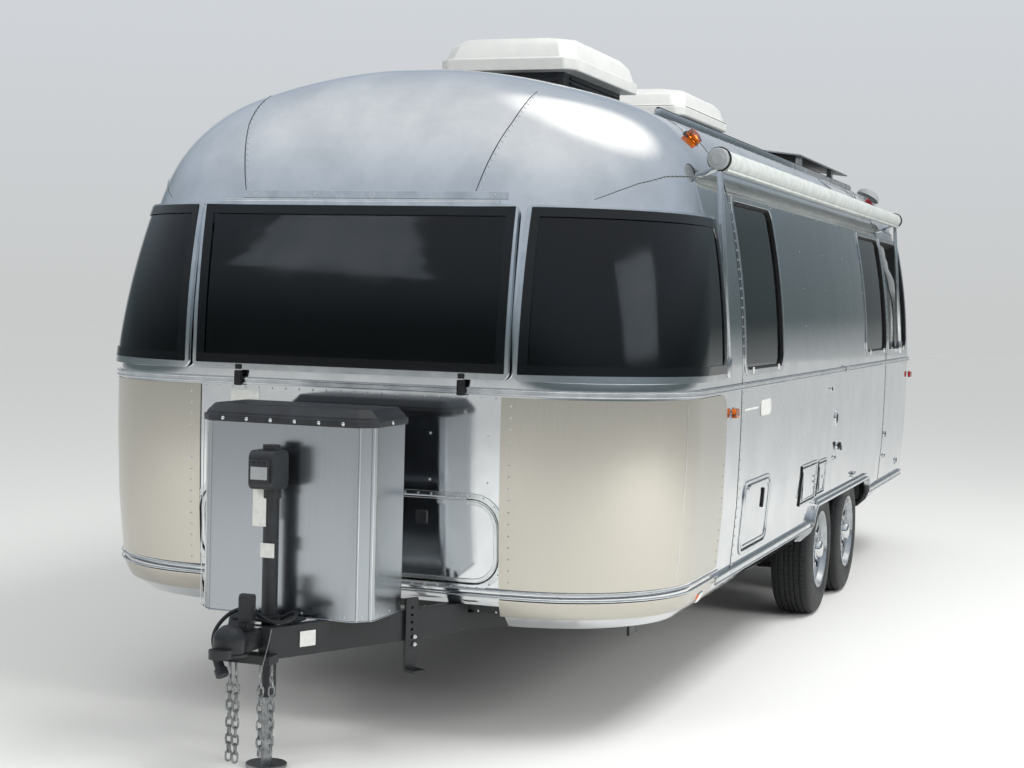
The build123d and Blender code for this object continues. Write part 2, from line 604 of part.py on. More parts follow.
def turned(profile, x, y, z):
    """A ring turned about the Y axis from (radius, y) points."""
    face = make_face(Polyline(*[(r, d) for r, d in profile], close=True))
    return Pos(x, y, z) * revolve(face, Axis.Y)


def wheel(side):
    """An alloy wheel with its barrel, dished disc and hub cap, facing side (+1 left, -1 right)."""
    barrel = ((RIM_R + 8, -106), (RIM_R + 8, -100), (RIM_R, -99), (RIM_R - 2, -92), (RIM_R - 16, -60),
              (RIM_R - 16, 60), (RIM_R - 2, 92), (RIM_R, 99), (RIM_R + 8, 100), (RIM_R + 8, 106),
              (RIM_R - 6, 106), (RIM_R - 24, 60), (RIM_R - 24, -60), (RIM_R - 6, -106))
    solid = turned([(r, side * d) for r, d in barrel], 0, 0, 0)
    disc = turned([(34, side * 40), (RIM_R - 20, side * 66), (RIM_R - 20, side * 78), (34, side * 58)], 0, 0, 0)
    for i in range(8):
        slot = Rot(0, 45 * i, 0) * Pos(RIM_R - 78, side * 60, 0) * Box(62, 60, 34)
        disc -= slot
    cap = turned([(0, side * 30), (58, side * 30), (58, side * 84), (46, side * 96), (0, side * 100)], 0, 0, 0)
    return solid + disc + cap


tyres = {}
wheels = {}
WHEEL_PLACES = (         # name, axle, side
    ("front_left", 0, 1), ("front_right", 0, -1), ("rear_left", 1, 1), ("rear_right", 1, -1),
)
tyre_ring = facet_ring(TYRE_BANDS) - facet_ring(BEAD_BANDS)
for name, axle, side in WHEEL_PLACES:
    place = Pos(WHEEL_X[axle], side * TRACK_Y, WHEEL_Z)
    tyres[name] = place * tyre_ring
    wheels[name] = place * wheel(side)

# Rubber torsion axles: a square tube under the rails, trailing arms, drums and stub shafts
AXLE_AHEAD = 150
axles = []
for x in WHEEL_X:
    tube_x = x + AXLE_AHEAD
    axle = block((tube_x - 38, tube_x + 38), (-860, 860), (RAIL_Z[0] - 76, RAIL_Z[0]))
    for side in (1, -1):
        arm = Pos(0, side * 880, 0) * rod((tube_x, -19, 357), (tube_x, 19, 357), 42)
        arm += Pos(0, side * 880, 0) * rod((x, -19, WHEEL_Z), (x, 19, WHEEL_Z), 40)
        arm += block((x, tube_x), (side * 861, side * 899), (WHEEL_Z - 38, WHEEL_Z + 30))
        drum = rod((x, side * 899, WHEEL_Z), (x, side * 1000, WHEEL_Z), 125)
        stub = rod((x, side * 999, WHEEL_Z), (x, side * 1164, WHEEL_Z), 28)
        axle += arm + drum + stub
    axles.append(axle)

# Stabilisers: an arm under each corner that swings down sideways
STAND_X = (2350, -3450)
STAND_PIVOT = (610, 370)
STAND_LENGTH = 330
stands = {}
for end, x in zip(("front", "rear"), STAND_X):
    for side_name, side in (("left", 1), ("right", -1)):
        y = side * STAND_PIVOT[0]
        foot_y = side * (STAND_PIVOT[0] + STAND_LENGTH)
        arm = block((x - 20, x + 20), (y, foot_y), (STAND_PIVOT[1] - 18, STAND_PIVOT[1] + 14))
        arm += rod((x - 20, y, STAND_PIVOT[1]), (x + 20, y, STAND_PIVOT[1]), 18)
        pad_z = (STAND_PIVOT[1] - 50, STAND_PIVOT[1] + 20)
        arm += block((x - 60, x + 60), (foot_y - side * 4, foot_y + side * 8), pad_z)
        stands["stabiliser_" + end + "_" + side_name] = arm
        for step in (-1, 1):
            ear_z = (STAND_PIVOT[1] - 22, RAIL_Z[0] + 32)
            weld(block((x + step * 26, x + step * 32), (y - 30, y + 30), ear_z))
    beam_y = STAND_PIVOT[0] + 30
    weld(block((x - 32, x + 32), (-beam_y, beam_y), (RAIL_Z[0] + 30, RAIL_Z[1] - 20)))

# Rear bumper with the number-plate bracket
BUMPER_Z = (400, 505)
bumper = plate_y((BUMPER_X, TAIL_X - 15), BUMPER_Z, 18, (-1000, 1000))
for side in (1, -1):
    bumper += block((TAIL_X - 60, -3890), (side * RAIL_Y - 25, side * RAIL_Y + 25), (410, 490))
PLATE_Y = 600
PLATE_Z = 592
PLATE_HOLES = (177.8, 120.65)
PLATE_X = (BUMPER_X + 24, BUMPER_X + 28)
plate_carrier = plate_x((PLATE_Y - 160, PLATE_Y + 160), (PLATE_Z - 85, PLATE_Z + 85), 8, PLATE_X)
plate_foot_z = (BUMPER_Z[1], BUMPER_Z[1] + 5)
plate_carrier += block((PLATE_X[1], PLATE_X[1] + 32), (PLATE_Y - 60, PLATE_Y + 60), plate_foot_z)
for dy in (-1, 1):
    for dz in (-1, 1):
        y, z = PLATE_Y + dy * PLATE_HOLES[0] / 2, PLATE_Z + dz * PLATE_HOLES[1] / 2
        plate_carrier -= rod((BUMPER_X, y, z), (BUMPER_X + 60, y, z), 3.4)

# Trim mouldings round the body, corner stone shields, wheel-arch mouldings
BELT_TRIM = (1357, 1385)
NOSE_TRIM = (572, 608)       # foot moulding round the nose
FOOT_TRIM = (534, 570)       # foot moulding along the sides and round the tail
FOOT_TRIM_OUT = (-11, -0.4)  # its two faces, as depths below the skin
NOSE_TRIM_X = 2228           # where the one gives way to the other
belt_trim = upright_ring(BELT_TRIM, (-12, 0), BELT_Z)
nose_zone = block((NOSE_TRIM_X, NOSE_X + 100), (-HALF_W - 60, HALF_W + 60), (SKIRT_Z, BELT_Z))
nose_trim = upright_ring(NOSE_TRIM, FOOT_TRIM_OUT, NOSE_TRIM[1]) & nose_zone
foot_trim = upright_ring(FOOT_TRIM, FOOT_TRIM_OUT, FOOT_TRIM[1]) - nose_zone
ARCH_BAND = 32               # width of the wheel-arch moulding
ARCH_LIP = 13                # width of its inner lip
ARCH_OUT = (14, 28)          # how far its band and its lip stand off the skin
for zone in both_sides(arch_outline(ARCH_BAND + 1)):
    foot_trim -= zone
door_gap_y = (HALF_W - 160, HALF_W + 40)
foot_trim -= mirror_y(block((DOOR[0] - 12, DOOR[1] + 22), door_gap_y, (FOOT_TRIM[0] - 1, DOOR[3])))
belt_trim -= mirror_y(block((DOOR[0] - 12, DOOR[1] + 22), door_gap_y, (DOOR[2], DOOR[3])))
arch_span = (ARCH_X[0] - ARCH_BAND - 5, ARCH_X[1] + ARCH_BAND + 5)
arch_z = (SKIRT_Z, ARCH_TOP_Z + ARCH_BAND + 5)
arch_trim = wall_strip(arch_span, arch_z, (-ARCH_OUT[0], 0)) & arch_outline(ARCH_BAND)
arch_trim += wall_strip(arch_span, arch_z, (-ARCH_OUT[1], 0)) & arch_outline(ARCH_LIP)
arch_trim -= arch_zone

SHIELD_Y = 670
SHIELD_X = 1005
SHIELD_Z = (500, 1350)
shield_shell = low_shell(SHIELD_Z, (-7, -2), NOSE_X - SHIELD_X - 20)
shield_face = plate_x((SHIELD_Y, HALF_W + 300), SHIELD_Z, 90, (NOSE_X - 620, NOSE_X + 40))
shield_flank = plate_y((NOSE_X - SHIELD_X, NOSE_X + 300), SHIELD_Z, 90, (HALF_W - 640, HALF_W + 60))
corner_shield = shield_shell & (shield_face + shield_flank)
corner_shield -= block((2000, 3400), (0, 1500), (NOSE_TRIM[0] - 4, NOSE_TRIM[1] + 4))

# Lamps
amber = []
red = []
LAMP_SPOTS = (           # x, z, half length, half height
    (2095, 1262, 38, 20), (-3545, 1257, 38, 20),
)
for x, z, half_x, half_z in LAMP_SPOTS:
    lamp = plate_y((x - half_x, x + half_x), (z - half_z, z + half_z), 16, (HALF_W + 0.5, HALF_W + 22))
    (amber if x > 0 else red).extend(both_sides(lamp))
TAIL_LAMP_Z = ((700, 790), (800, 890))
for z in TAIL_LAMP_Z:
    lamp = plate_x((640, 760), z, 20, (TAIL_X - 26, TAIL_X + 60))
    lamp = lamp - mirror_end(low_block((600, 950), -0.5, NOSE_X - 900))
    red.extend(both_sides(lamp))

# Crown lamps: round ones on both upper corners, and three on the middle of the tail
CORNER_LAMP = (2075, 1062, 2436)     # where its middle meets the skin
LAMP_R = 36
LAMP_REACH = 30
lamp_out = Vector(0.12, 0.80, 0.58).normalized()
lamp_seat = Vector(*CORNER_LAMP)
corner_lamp = Plane(origin=lamp_seat + lamp_out * 1.5, z_dir=lamp_out) * extrude(Circle(LAMP_R), LAMP_REACH)
upper_block = end_block(HIGH_LEVELS[4:9], -1, SEAM_F - 60)
corner_lamp = corner_lamp - upper_block
amber.extend(both_sides(corner_lamp))
red.extend([mirror_end(lamp) for lamp in both_sides(corner_lamp)])
TAIL_LAMP_Y = (-340, 0, 340)
CROWN_LAMP_Z = 2560
CROWN_LAMP = (26, 15, 40)            # reach, half height, half length
for y in TAIL_LAMP_Y:
    lamp_x = NOSE_X - end_in(CROWN_LAMP_Z)
    lamp_z = (CROWN_LAMP_Z - CROWN_LAMP[1], CROWN_LAMP_Z + CROWN_LAMP[1])
    lamp_y = (y - CROWN_LAMP[2], y + CROWN_LAMP[2])
    lamp = plate_y((lamp_x - 30, lamp_x + CROWN_LAMP[0]), lamp_z, 12, lamp_y) - upper_block
    red.append(mirror_end(lamp.solids().sort_by(Axis.X)[-1]))

# Awnings: a roll with its end caps and two arms down each side
AWNING_Y = 1240
AWNING_Z = 2333
AWNING_R = 52
AWNING_X = (-2960, 2318)
ARM_LOW_Z = 1440         # foot of the arms
BRACE_Z = (2250, 2290)
awning = rod((AWNING_X[0], AWNING_Y, AWNING_Z), (AWNING_X[1], AWNING_Y, AWNING_Z), AWNING_R)
ARM_X = (AWNING_X[0] + 28, AWNING_X[1] - 28)
for x in ARM_X:
    awning += rod((x - 25, AWNING_Y, AWNING_Z), (x + 25, AWNING_Y, AWNING_Z), AWNING_R + 8)
    low_y = half_width(ARM_LOW_Z)
    face = make_face(Polyline((low_y + 4, ARM_LOW_Z), (low_y + 30, ARM_LOW_Z),
                              (AWNING_Y + 24, AWNING_Z), (AWNING_Y - 12, AWNING_Z), close=True))
    arm = Plane(origin=(x - 18, 0, 0), x_dir=(0, 1, 0), z_dir=(1, 0, 0)) * extrude(face, 36)
    foot = block((x - 18, x + 18), (low_y - 30, low_y + 30), (ARM_LOW_Z, ARM_LOW_Z + 60))
    awning += arm + foot
    awning += block((x - 18, x + 18), (half_width(BRACE_Z[0]) - 60, AWNING_Y), BRACE_Z)
awning -= wall_strip((AWNING_X[0] - 60, AWNING_X[1] + 60), (1400, 2420), (-1.2, 420))
awning = Compound(children=[awning.solids().sort_by(SortBy.VOLUME)[-1]])

# Roof units: two air-conditioner shrouds, two solar panels, vents
UNIT_FRONT_X = (460, 1545)   # rear and front edge of the front unit's rim
UNIT_PITCH = 2075            # the rear unit stands so far behind it
UNIT_HALF_Y = 345
UNIT_RIM_Z = (2818, 2876)
UNIT_TOP_Z = 2988
UNIT_BASE_IN = 70            # how far the base under the rim stands back
ROOF_CUT_Z = 2640


def shroud_level(x, half_y, z, cut):
    """A shroud's outline at one height: a box with its front corners cut off."""
    corners = [(x[0], -half_y), (x[1] - cut, -half_y), (x[1], -half_y + cut),
               (x[1], half_y - cut), (x[1] - cut, half_y), (x[0], half_y)]
    return Pos(0, 0, z) * make_face(Polyline(*corners, close=True))


def shroud(x):
    """A roof unit's shroud on its base, cut to the roof."""
    rim = extrude(shroud_level(x, UNIT_HALF_Y, UNIT_RIM_Z[0], 50), UNIT_RIM_Z[1] - UNIT_RIM_Z[0])
    levels = [
        shroud_level((x[0] + 12, x[1] - 14), UNIT_HALF_Y - 12, UNIT_RIM_Z[1], 60),
        shroud_level((x[0] + 70, x[1] - 44), UNIT_HALF_Y - 24, UNIT_TOP_Z - 46, 70),
        shroud_level((x[0] + 170, x[1] - 84), UNIT_HALF_Y - 46, UNIT_TOP_Z - 12, 80),
        shroud_level((x[0] + 240, x[1] - 140), UNIT_HALF_Y - 90, UNIT_TOP_Z, 90),
    ]
    base_y = UNIT_HALF_Y - UNIT_BASE_IN
    base = block((x[0] + UNIT_BASE_IN, x[1] - UNIT_BASE_IN), (-base_y, base_y), (ROOF_CUT_Z, UNIT_RIM_Z[0]))
    return rim + loft(levels, ruled=True) + base - roof_form


unit_front = shroud(UNIT_FRONT_X)
unit_rear = shroud((UNIT_FRONT_X[0] - UNIT_PITCH, UNIT_FRONT_X[1] - UNIT_PITCH))

SOLAR_X = (-3600, -1760)
SOLAR_EDGE = (790, 2684)      # y and z of the left panel's outer edge
SOLAR_SIZE = (640, 10)        # its width and thickness
SOLAR_TILT = 7                # degrees, so that it lies along the roof
panel = block(SOLAR_X, (-SOLAR_SIZE[0], 0), (0, SOLAR_SIZE[1]))
solar_plate = Pos(0, *SOLAR_EDGE) * Rot(-SOLAR_TILT, 0, 0) * panel
for x in (SOLAR_X[0] + 500, SOLAR_X[1] - 200):
    for inward in (40, 590):
        foot_top = SOLAR_EDGE[1] + 5 + inward * SOLAR_TILT * pi / 180
        foot_y = SOLAR_EDGE[0] - inward
        foot = block((x - 25, x + 25), (foot_y - 18, foot_y + 18), (ROOF_CUT_Z - 60, foot_top))
        solar_plate += foot - roof_form

VENTS = (                    # x, y, half length, half width, height over the ridge
    (-40, 0, 200, 200, 70), (1760, -420, 70, 70, 40), (-2640, 0, 70, 80, 80),
)
vents = []
for x, y, half_x, half_y, high in VENTS:
    vent = block((x - half_x, x + half_x), (y - half_y, y + half_y), (ROOF_CUT_Z - 80, ROOF_Z + high))
    vent = chamfer(vent.faces().sort_by(Axis.Z)[-1].edges(), 24)
    vents.append(vent - roof_form)

# Weight-distribution brackets on the A-frame
BRACKET_X = 3420
BAR_OUT = 24             # from the rail's middle to the bar


def rail_y(x):
    """The middle of the A-frame rail, sideways, at one x."""
    start_x, start_y = DRAWBAR_START
    return start_y + (x - start_x) * (APEX_Y - start_y) / (APEX_X - start_x)


RAIL_TURN = atan2(DRAWBAR_START[1] - APEX_Y, APEX_X - DRAWBAR_START[0]) * 180 / pi
BAR_Z = (318, 589)
bracket = block((-30, 30), (0, 12), BAR_Z)
for i in range(6):
    z = 552 - 28 * i
    bracket -= rod((0, -5, z), (0, 20, z), 6)
bracket += block((-30, 30), (0, 62), (BAR_Z[0] - 8, BAR_Z[0] + 2))
bracket = Pos(BRACKET_X, rail_y(BRACKET_X), 0) * Rot(0, 0, -RAIL_TURN) * Pos(0, BAR_OUT, 0) * bracket
brackets = both_sides(bracket - chassis)

# Safety chains: two double strands hanging from the A-frame's apex
LINK_LENGTH = 44
LINK_WIDTH = 26
LINK_WIRE = 6.5
LINK_PITCH = LINK_LENGTH - 2 * LINK_WIRE - 0.6
CHAIN_TOP_Z = 372
CHAIN_SPOTS = (          # x, y, links
    (4035, -58, 10), (4050, -24, 10), (4038, 66, 9), (4008, 94, 9),
)


def cut_corner_plate(length, width, cut, thick):
    """A flat plate with its four corners cut off, centred on the origin."""
    x, y = length / 2, width / 2
    corners = [(x, y - cut), (x - cut, y), (cut - x, y), (-x, y - cut),
               (-x, cut - y), (cut - x, -y), (x - cut, -y), (x, cut - y)]
    return Pos(0, 0, -thick / 2) * extrude(make_face(Polyline(*corners, close=True)), thick)


link = cut_corner_plate(LINK_LENGTH, LINK_WIDTH, 9, LINK_WIRE)
link -= cut_corner_plate(LINK_LENGTH - 2 * LINK_WIRE, LINK_WIDTH - 2 * LINK_WIRE, 3, LINK_WIRE + 2)
chains = []
for x, y, count in CHAIN_SPOTS:
    for i in range(count):
        turn = Rot(0, 90, 0) if i % 2 else Rot(0, 90, 90)
        chains.append(Pos(x, y, CHAIN_TOP_Z - LINK_LENGTH / 2 - i * LINK_PITCH) * turn * link)
    hanger = block((x - 5, x + 5), (y - 5, y + 5), (CHAIN_TOP_Z - 10, DRAWBAR_Z[0] - 10))
    chains.append(hanger)

# Entry step, folded under the door
step_tread = block((DOOR[0] + 20, DOOR[1] - 20), (880, 1150), (372, 398))
step_tread += block((DOOR[0] + 30, DOOR[1] - 30), (900, 1130), (404, 428))
for x in (DOOR[0] + 22, DOOR[1] - 30):
    step_tread += block((x, x + 8), (RAIL_Y + 25, 1120), (372, 500))
entry_step = mirror_y(step_tread)

# Furniture that shows through the windows
bed = block((1500, 3000), (-640, 640), (FLOOR_Z + FLOOR_T, 950))
bed += block((1520, 2980), (-620, 620), (950, 1130))
galley = block((-600, 880), (640, 1180), (FLOOR_Z + FLOOR_T, 1400))
galley -= block((well_span[0] - 2, well_span[1] + 2), (WELL_Y - 2, 1300), (0, WELL_TOP_Z + 2))
dinette = block((-3600, -2900), (-1000, 1000), (FLOOR_Z + FLOOR_T, 1000))
dinette += block((-3620, -3480), (-1000, 1000), (1000, 1330))
dinette += block((-2600, -2050), (500, 1150), (FLOOR_Z + FLOOR_T, 1250))

# The plug cable, laid round the coupler, and its plug
CABLE_R = 7
CABLE_ROUTE = (
    (3888, 64, 556), (3895, 118, 588), (3925, 150, 586), (3965, 140, 562), (3993, 84, 556), (3984, 20, 584),
    (3980, -42, 600), (4005, -86, 578), (4045, -115, 530), (4072, -112, 482), (4084, -90, 446),
)


def bend_radii(route):
    """The largest arc that each corner's two runs allow."""
    points = [Vector(*p) for p in route]
    radii = []
    for a, b, c in zip(points, points[1:], points[2:]):
        half_turn = (b - a).get_angle(c - b) * pi / 360
        radii.append(0.45 * min((b - a).length, (c - b).length) / (sin(half_turn) / cos(half_turn)))
    return radii


def cord(route, radius):
    path = FilletPolyline(*route, radius=bend_radii(route))
    start = Vector(*route[0])
    section = Plane(origin=start, z_dir=Vector(*route[1]) - start) * Circle(radius)
    tube = sweep(section, path=path)
    print("cord length", round(path.length), "radii", [round(r) for r in bend_radii(route)])
    return tube


plug_cable = cord(CABLE_ROUTE, CABLE_R)
WIRE_R = 2
WIRE_ROUTE = ((4012, 91, 536), (4040, 98, 500), (4072, 98, 450), (4076, 88, 400), (4074, 80, 352))
breakaway_wire = cord(WIRE_ROUTE, WIRE_R)
plug_end = Vector(*CABLE_ROUTE[-1])
plug_way = (plug_end - Vector(*CABLE_ROUTE[-2])).normalized()
plug = Plane(origin=plug_end, z_dir=plug_way) * extrude(Circle(18), 60)
plug += Plane(origin=plug_end + plug_way * 58, z_dir=plug_way) * extrude(Circle(24), 28)

save("chassis_frame", *chassis)
save("coupler", coupler)
save("tongue_jack", jack)
save("jack_leg", jack_leg)
save("bottle_cover", cover)
save("cover_lid", cover_lid)
save("floor_pan", floor_pan, well_cover, mirror_y(well_cover))
save("wall_left", wall_left)
save("wall_right", wall_right)
save("front_wall", front_wall)
save("front_cap", front_cap)
save("rear_wall", low_rear)
save("rear_cap", rear_cap)
save("roof_panel", roof)
save("end_glass", nose_pane, mirror_end(nose_pane), *corner_glass)
save("side_glass", *side_glass, *[mirror_y(pane) for pane in side_glass], tail_pane, mirror_y(tail_pane))
save("front_guard", front_guard)
save("corner_guards", *both_sides(corner_guard))
save("entry_door", door)
save("door_glass", door_pane)
save("front_hatch", front_hatch)
save("side_hatch", side_hatch)
save("service_door_front", service_doors[0])
save("service_door_rear", service_doors[1])
save("belt_trim", belt_trim)
save("foot_trim", foot_trim, *both_sides(arch_trim))
save("corner_shields", *both_sides(corner_shield))
save("awnings", *both_sides(awning))
save("roof_unit_front", unit_front)
save("roof_unit_rear", unit_rear)
save("solar_panel", *both_sides(solar_plate))
save("roof_vents", *vents)
save("axles", *axles)
for name in tyres:
    save("tyre_" + name, tyres[name])
    save("wheel_" + name, wheels[name])
for name in stands:
    save(name, stands[name])
save("rear_bumper", bumper)
save("plate_carrier", plate_carrier)
save("lamps_amber", *amber)
save("lamps_red", *red)
save("hitch_brackets", *brackets)
save("safety_chains", *chains)
save("plug_cable", plug_cable)
save("breakaway_wire", breakaway_wire)
save("cable_plug", plug)
save("entry_step", entry_step)
save("front_bed", bed)
save("galley_cabinet", galley)
save("rear_lounge", dinette)
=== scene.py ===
# %% [markdown]
# This notebook dresses a travel caravan: a riveted aluminium shell on two axles, with an A-frame
# drawbar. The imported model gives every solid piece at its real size. Blender adds what the solids
# leave out: mirror-smooth skins, rivets, mouldings, tyre tread, cloth, glass and finishes.
# Everything is in metres. X points to the coupler, Y to the left side and Z up.

# %% Frame
import math
import random

import bmesh
import bpy
import numpy
from mathutils import Matrix, Vector


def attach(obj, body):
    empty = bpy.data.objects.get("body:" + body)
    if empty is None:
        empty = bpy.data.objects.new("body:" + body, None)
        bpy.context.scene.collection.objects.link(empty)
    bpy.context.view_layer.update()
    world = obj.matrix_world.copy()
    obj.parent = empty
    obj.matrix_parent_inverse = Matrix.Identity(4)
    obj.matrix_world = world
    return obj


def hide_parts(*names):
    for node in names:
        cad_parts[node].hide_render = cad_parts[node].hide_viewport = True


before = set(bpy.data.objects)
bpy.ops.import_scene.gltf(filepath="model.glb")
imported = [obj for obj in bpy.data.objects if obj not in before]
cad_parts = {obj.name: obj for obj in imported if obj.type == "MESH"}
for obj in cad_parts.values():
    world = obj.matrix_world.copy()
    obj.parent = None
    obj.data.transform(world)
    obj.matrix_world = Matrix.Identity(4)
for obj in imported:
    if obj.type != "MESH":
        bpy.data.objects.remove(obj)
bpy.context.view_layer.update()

# %% [markdown]
# The camera stands ahead of the left front corner at eye height. Its place, direction and lens
# were solved from the photograph with the body's width, the tyres and the axle spacing.

# %% Camera
CAMERA_AT = Vector((9.65598, 3.00714, 1.73155))
CAMERA_FORWARD = Vector((-0.93954007, -0.33906453, -0.04795518))
CAMERA_UP = Vector((-0.03597145, -0.041544, 0.99848893))
LENS_MM = 63.12

camera = bpy.data.objects.new("camera", bpy.data.cameras.new("camera"))
bpy.context.scene.collection.objects.link(camera)
camera.data.lens = LENS_MM
camera.data.sensor_width = 36
camera.data.clip_end = 200
turn = Matrix((CAMERA_FORWARD.cross(CAMERA_UP), CAMERA_UP, -CAMERA_FORWARD)).transposed()
camera.matrix_world = Matrix.Translation(CAMERA_AT) @ turn.to_4x4()
bpy.context.scene.camera = camera

# %% [markdown]
# Two cords hang at the coupler. The plug cable leaves the drawbar, loops over the coupler and
# ends in its plug beside it. The thin breakaway wire hangs from the rail. Each is one smooth
# spline whose control points are the route of the solid tube.

# %% Cords
CABLE_R = 0.007
CABLE_ROUTE = (
    (3.888, .064, .556), (3.895, .118, .588), (3.925, .150, .586), (3.965, .140, .562),
    (3.993, .084, .556), (3.984, .020, .584), (3.980, -.042, .600), (4.005, -.086, .578),
    (4.045, -.115, .530), (4.072, -.112, .482), (4.084, -.090, .446),
)
WIRE_R = 0.002
WIRE_ROUTE = (
    (4.012, .091, .536), (4.040, .098, .500), (4.072, .098, .450), (4.076, .088, .400), (4.074, .080, .352),
)


def cord_curve(name, route, radius):
    """A round cord along one smooth spline."""
    data = bpy.data.curves.new(name, "CURVE")
    data.dimensions = "3D"
    data.bevel_depth = radius
    data.bevel_resolution = 4
    data.resolution_u = 10
    data.use_fill_caps = True
    spline = data.splines.new("NURBS")
    spline.points.add(len(route) - 1)
    for point, place in zip(spline.points, route):
        point.co = (*place, 1)
    spline.order_u = 3
    spline.use_endpoint_u = True
    cord = bpy.data.objects.new(name, data)
    bpy.context.scene.collection.objects.link(cord)
    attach(cord, "caravan")
    return cord


plug_cable = cord_curve("plug_cable_jacket", CABLE_ROUTE, CABLE_R)
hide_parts("plug_cable")
wire_cord = cord_curve("breakaway_wire_strand", WIRE_ROUTE, WIRE_R)
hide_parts("breakaway_wire")

# %% [markdown]
# The studio is a pale floor under a pale sky. Polished metal shows whatever stands round it, so
# the sky has a soft gradient: pale at the horizon, a little bluer above it, pale again overhead.
# Away from the camera's view a soft grey band stands over the horizon, like cloth hung round a
# studio, and one bright patch glows over the nose. Camera, mirror and glass rays all see that sky.
# The lamps light the object but don't show in it, so no hard rectangle lies in the metal.

# %% Colour and node helpers
def linear(code):
    """An sRGB hex colour as linear RGBA."""
    parts = [int(code[i:i + 2], 16) / 255 for i in (0, 2, 4)]
    return tuple([c / 12.92 if c <= 0.04045 else ((c + 0.055) / 1.055) ** 2.4 for c in parts] + [1.0])


def add(tree, kind, links=None, **settings):
    """Adds a node: settings are its own values, links fill its sockets with values or other sockets."""
    node = tree.nodes.new(kind)
    for key, value in settings.items():
        setattr(node, key, value)
    for key, value in (links or {}).items():
        if isinstance(value, bpy.types.NodeSocket):
            tree.links.new(value, node.inputs[key])
        else:
            node.inputs[key].default_value = value
    return node


def set_ramp(node, stops):
    """Gives a colour ramp its stops as (position, hex colour)."""
    ramp = node.color_ramp
    while len(ramp.elements) < len(stops):
        ramp.elements.new(0.5)
    for element, (position, code) in zip(ramp.elements, stops):
        element.position = position
        element.color = linear(code)


# %% Studio
floor_mesh = bmesh.new()
bmesh.ops.create_grid(floor_mesh, x_segments=1, y_segments=1, size=60)
floor_data = bpy.data.meshes.new("studio_floor")
floor_mesh.to_mesh(floor_data)
floor_mesh.free()
studio_floor = bpy.data.objects.new("studio_floor", floor_data)
bpy.context.scene.collection.objects.link(studio_floor)

floor_paint = bpy.data.materials.new("matt_floor_paint")
floor_paint.use_nodes = True
floor_paint.node_tree.nodes["Principled BSDF"].inputs["Base Color"].default_value = linear("E9E9E5")
floor_paint.node_tree.nodes["Principled BSDF"].inputs["Roughness"].default_value = 0.9
floor_data.materials.append(floor_paint)

world = bpy.data.worlds.new("studio_sky")
world.use_nodes = True
bpy.context.scene.world = world
sky = world.node_tree
sky.nodes.clear()
SKY_STOPS = ((0.0, "C6C8C8"), (0.50, "C9CBCB"), (0.60, "D2D7DD"), (0.68, "A8B4C4"), (0.84, "CBD3DD"),
             (1.0, "F4F6F8"))
direction = add(sky, "ShaderNodeTexCoord")
height = add(sky, "ShaderNodeSeparateXYZ", {"Vector": direction.outputs["Generated"]})
height_value = add(sky, "ShaderNodeMapRange",
                   {"Value": height.outputs["Z"], "From Min": -1.0, "From Max": 1.0})
sky_colour = add(sky, "ShaderNodeValToRGB", {"Fac": height_value.outputs["Result"]})
set_ramp(sky_colour, SKY_STOPS)
BAND_STOPS = ((0.0, "BFC2C2"), (0.485, "B4B8B9"), (0.51, "5C6668"), (0.56, "6A757A"), (0.63, "A3AEB8"),
              (0.70, "B8C2CE"), (0.84, "CDD4DC"), (1.0, "F4F6F8"))
band_colour = add(sky, "ShaderNodeValToRGB", {"Fac": height_value.outputs["Result"]})
set_ramp(band_colour, BAND_STOPS)
GLOW_FROM = Vector((-0.45, 0.20, 0.87)).normalized()


def towards(way, low, high):
    """1 where the sky lies in a direction, falling softly to 0 between two cosines."""
    aim = add(sky, "ShaderNodeVectorMath", {0: direction.outputs["Generated"], 1: way},
              operation="DOT_PRODUCT")
    soft = add(sky, "ShaderNodeMapRange",
               {"Value": aim.outputs["Value"], "From Min": low, "From Max": high},
               interpolation_type="SMOOTHSTEP")
    return soft.outputs["Result"]


plain_sky = add(sky, "ShaderNodeBackground", {"Color": sky_colour.outputs["Color"], "Strength": 1.0})
band_sky = add(sky, "ShaderNodeBackground", {"Color": band_colour.outputs["Color"], "Strength": 1.0})
around_sky = add(sky, "ShaderNodeMixShader",
                 {0: towards(CAMERA_FORWARD, 0.86, 0.945), 1: band_sky.outputs[0], 2: plain_sky.outputs[0]})
glow_sky = add(sky, "ShaderNodeBackground", {"Color": linear("FFFDF8"), "Strength": 1.7})
seen = add(sky, "ShaderNodeMixShader", {0: towards(GLOW_FROM, 0.90, 0.99), 1: around_sky.outputs[0],
                                        2: glow_sky.outputs[0]})
lit = add(sky, "ShaderNodeBackground", {"Color": linear("F2F4F7"), "Strength": 0.8})
rays = add(sky, "ShaderNodeLightPath")
first = add(sky, "ShaderNodeMath", {0: rays.outputs["Is Camera Ray"], 1: rays.outputs["Is Glossy Ray"]},
            operation="MAXIMUM")
either = add(sky, "ShaderNodeMath", {0: first.outputs[0], 1: rays.outputs["Is Transmission Ray"]},
             operation="MAXIMUM")
mixed = add(sky, "ShaderNodeMixShader", {0: either.outputs[0], 1: lit.outputs[0], 2: seen.outputs[0]})
add(sky, "ShaderNodeOutputWorld", {"Surface": mixed.outputs[0]})

